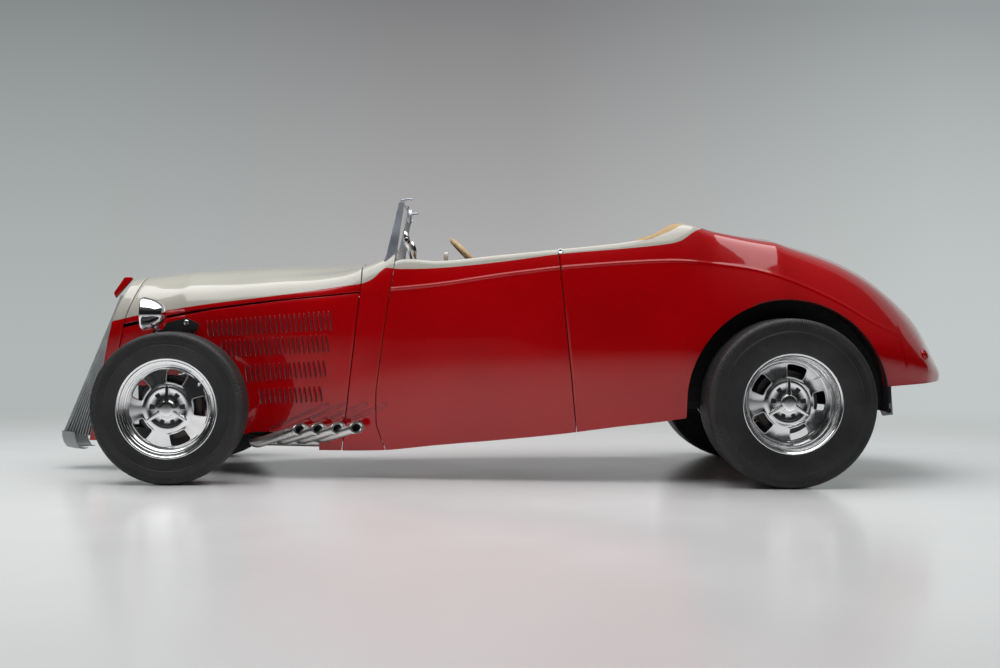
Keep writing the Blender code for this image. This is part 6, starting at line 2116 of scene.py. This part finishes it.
class RoadsterStep(Operator):
    """Common ground of the steps that dress the car"""
    bl_idname = 'roadster.step'
    bl_label = 'Step'
    bl_options = {'UNDO'}

    def build(self, scene):
        pass

    def execute(self, context):
        self.build(context.scene)
        return {'FINISHED'}


class RoadsterFinishes(RoadsterStep):
    """Make the paints, metals, leathers and rubbers"""
    bl_idname = 'roadster.finishes'
    bl_label = 'Finishes'

    def build(self, scene):
        make_finishes(scene.roadster_paint)
        # Painted shade: dark red for the louvres' openings
        FINISH['slot'] = satin_finish('louvre_slot_shade_finish', (0.115, 0.001, 0.006), 0.7)
        FINISH['fins'] = satin_finish('radiator_fin_finish', (0.02, 0.02, 0.022), 0.5)
        for name, x, track, radius, _, _, side in WHEELS:
            centre = Vector((x, side * track, radius))
            FINISH[f'rubber_{name}'] = rubber_finish(f'tyre_rubber_{name}', centre, radius)
        dress_frame()


class RoadsterPanels(RoadsterStep):
    """Build the painted panels: nose, hood, cowl, doors, rear body and deck lid"""
    bl_idname = 'roadster.panels'
    bl_label = 'Body panels'

    def build(self, scene):
        build_shell_panel()
        build_hood_top()
        build_hood_sides()
        build_cowl()
        build_doors()
        build_rear_body()
        build_deck_lid()
        build_wells()
        build_seam_shade_cords()


class RoadsterPressings(RoadsterStep):
    """Press the louvres into the hood sides"""
    bl_idname = 'roadster.pressings'
    bl_label = 'Louvres'

    def build(self, scene):
        build_louvres(scene.roadster_press)


class RoadsterNose(RoadsterStep):
    """Build the pointed grille, its apron and the crest"""
    bl_idname = 'roadster.nose'
    bl_label = 'Grille'

    def build(self, scene):
        build_nose()


class RoadsterWheels(RoadsterStep):
    """Build the four wheels and tyres"""
    bl_idname = 'roadster.wheels'
    bl_label = 'Wheels and tyres'

    def build(self, scene):
        for name, x, track, radius, width, dish, side in WHEELS:
            build_tyre(name, x, track, radius, width, side)
            build_wheel(name, x, track, radius, width, dish, side, scene.roadster_wheels)


class RoadsterPipes(RoadsterStep):
    """Build the side pipes, the coil springs and their bolts"""
    bl_idname = 'roadster.pipes'
    bl_label = 'Pipes and springs'

    def build(self, scene):
        build_exhausts()
        build_springs()


class RoadsterLamps(RoadsterStep):
    """Build the headlamps and tail lamps"""
    bl_idname = 'roadster.lamps'
    bl_label = 'Lamps'

    def build(self, scene):
        build_headlamps()
        build_tail_lamps()


class RoadsterGlass(RoadsterStep):
    """Build the windshield, its arms and the mirror"""
    bl_idname = 'roadster.glass'
    bl_label = 'Windshield'

    def build(self, scene):
        build_posts()
        build_clamps()
        build_pane()
        build_mirror()


class RoadsterCockpit(RoadsterStep):
    """Build the dashboard, the steering wheel, the lever and the trim"""
    bl_idname = 'roadster.cockpit'
    bl_label = 'Cockpit'

    def build(self, scene):
        build_dashboard()
        build_steering()
        build_cabin()


class RoadsterSeats(RoadsterStep):
    """Build the pleated bench seat"""
    bl_idname = 'roadster.seats'
    bl_label = 'Seat'

    def build(self, scene):
        build_seats()


class RoadsterStage(RoadsterStep):
    """Set up the floor, backdrop, lamps and camera"""
    bl_idname = 'roadster.stage'
    bl_label = 'Studio'

    def build(self, scene):
        build_stage(scene.roadster_stage)


STEPS = (RoadsterFinishes, RoadsterPanels, RoadsterPressings, RoadsterNose, RoadsterWheels, RoadsterPipes,
         RoadsterLamps, RoadsterGlass, RoadsterCockpit, RoadsterSeats, RoadsterStage)
GROUPS = ((PaintSettings, 'roadster_paint'), (PressSettings, 'roadster_press'),
          (WheelSettings, 'roadster_wheels'), (StageSettings, 'roadster_stage'))


class RoadsterPanel(Panel):
    bl_idname = 'VIEW3D_PT_roadster'
    bl_label = 'Street rod roadster'
    bl_space_type = 'VIEW_3D'
    bl_region_type = 'UI'
    bl_category = 'Roadster'

    def draw(self, context):
        for step in STEPS:
            self.layout.operator(step.bl_idname, text=step.bl_label)
        for group, name in GROUPS:
            box = self.layout.box()
            values = getattr(context.scene, name)
            for key in group.__annotations__:
                box.prop(values, key)


def register():
    for group, name in GROUPS:
        bpy.utils.register_class(group)
        setattr(bpy.types.Scene, name, PointerProperty(type=group))
    for step in STEPS:
        bpy.utils.register_class(step)
    bpy.utils.register_class(RoadsterPanel)


def unregister():
    bpy.utils.unregister_class(RoadsterPanel)
    for step in reversed(STEPS):
        bpy.utils.unregister_class(step)
    for group, name in reversed(GROUPS):
        delattr(bpy.types.Scene, name)
        bpy.utils.unregister_class(group)


def main():
    register()
    for step in STEPS:
        group, name = step.bl_idname.split('.')
        getattr(getattr(bpy.ops, group), name)()


if __name__ == '__main__':
    main()
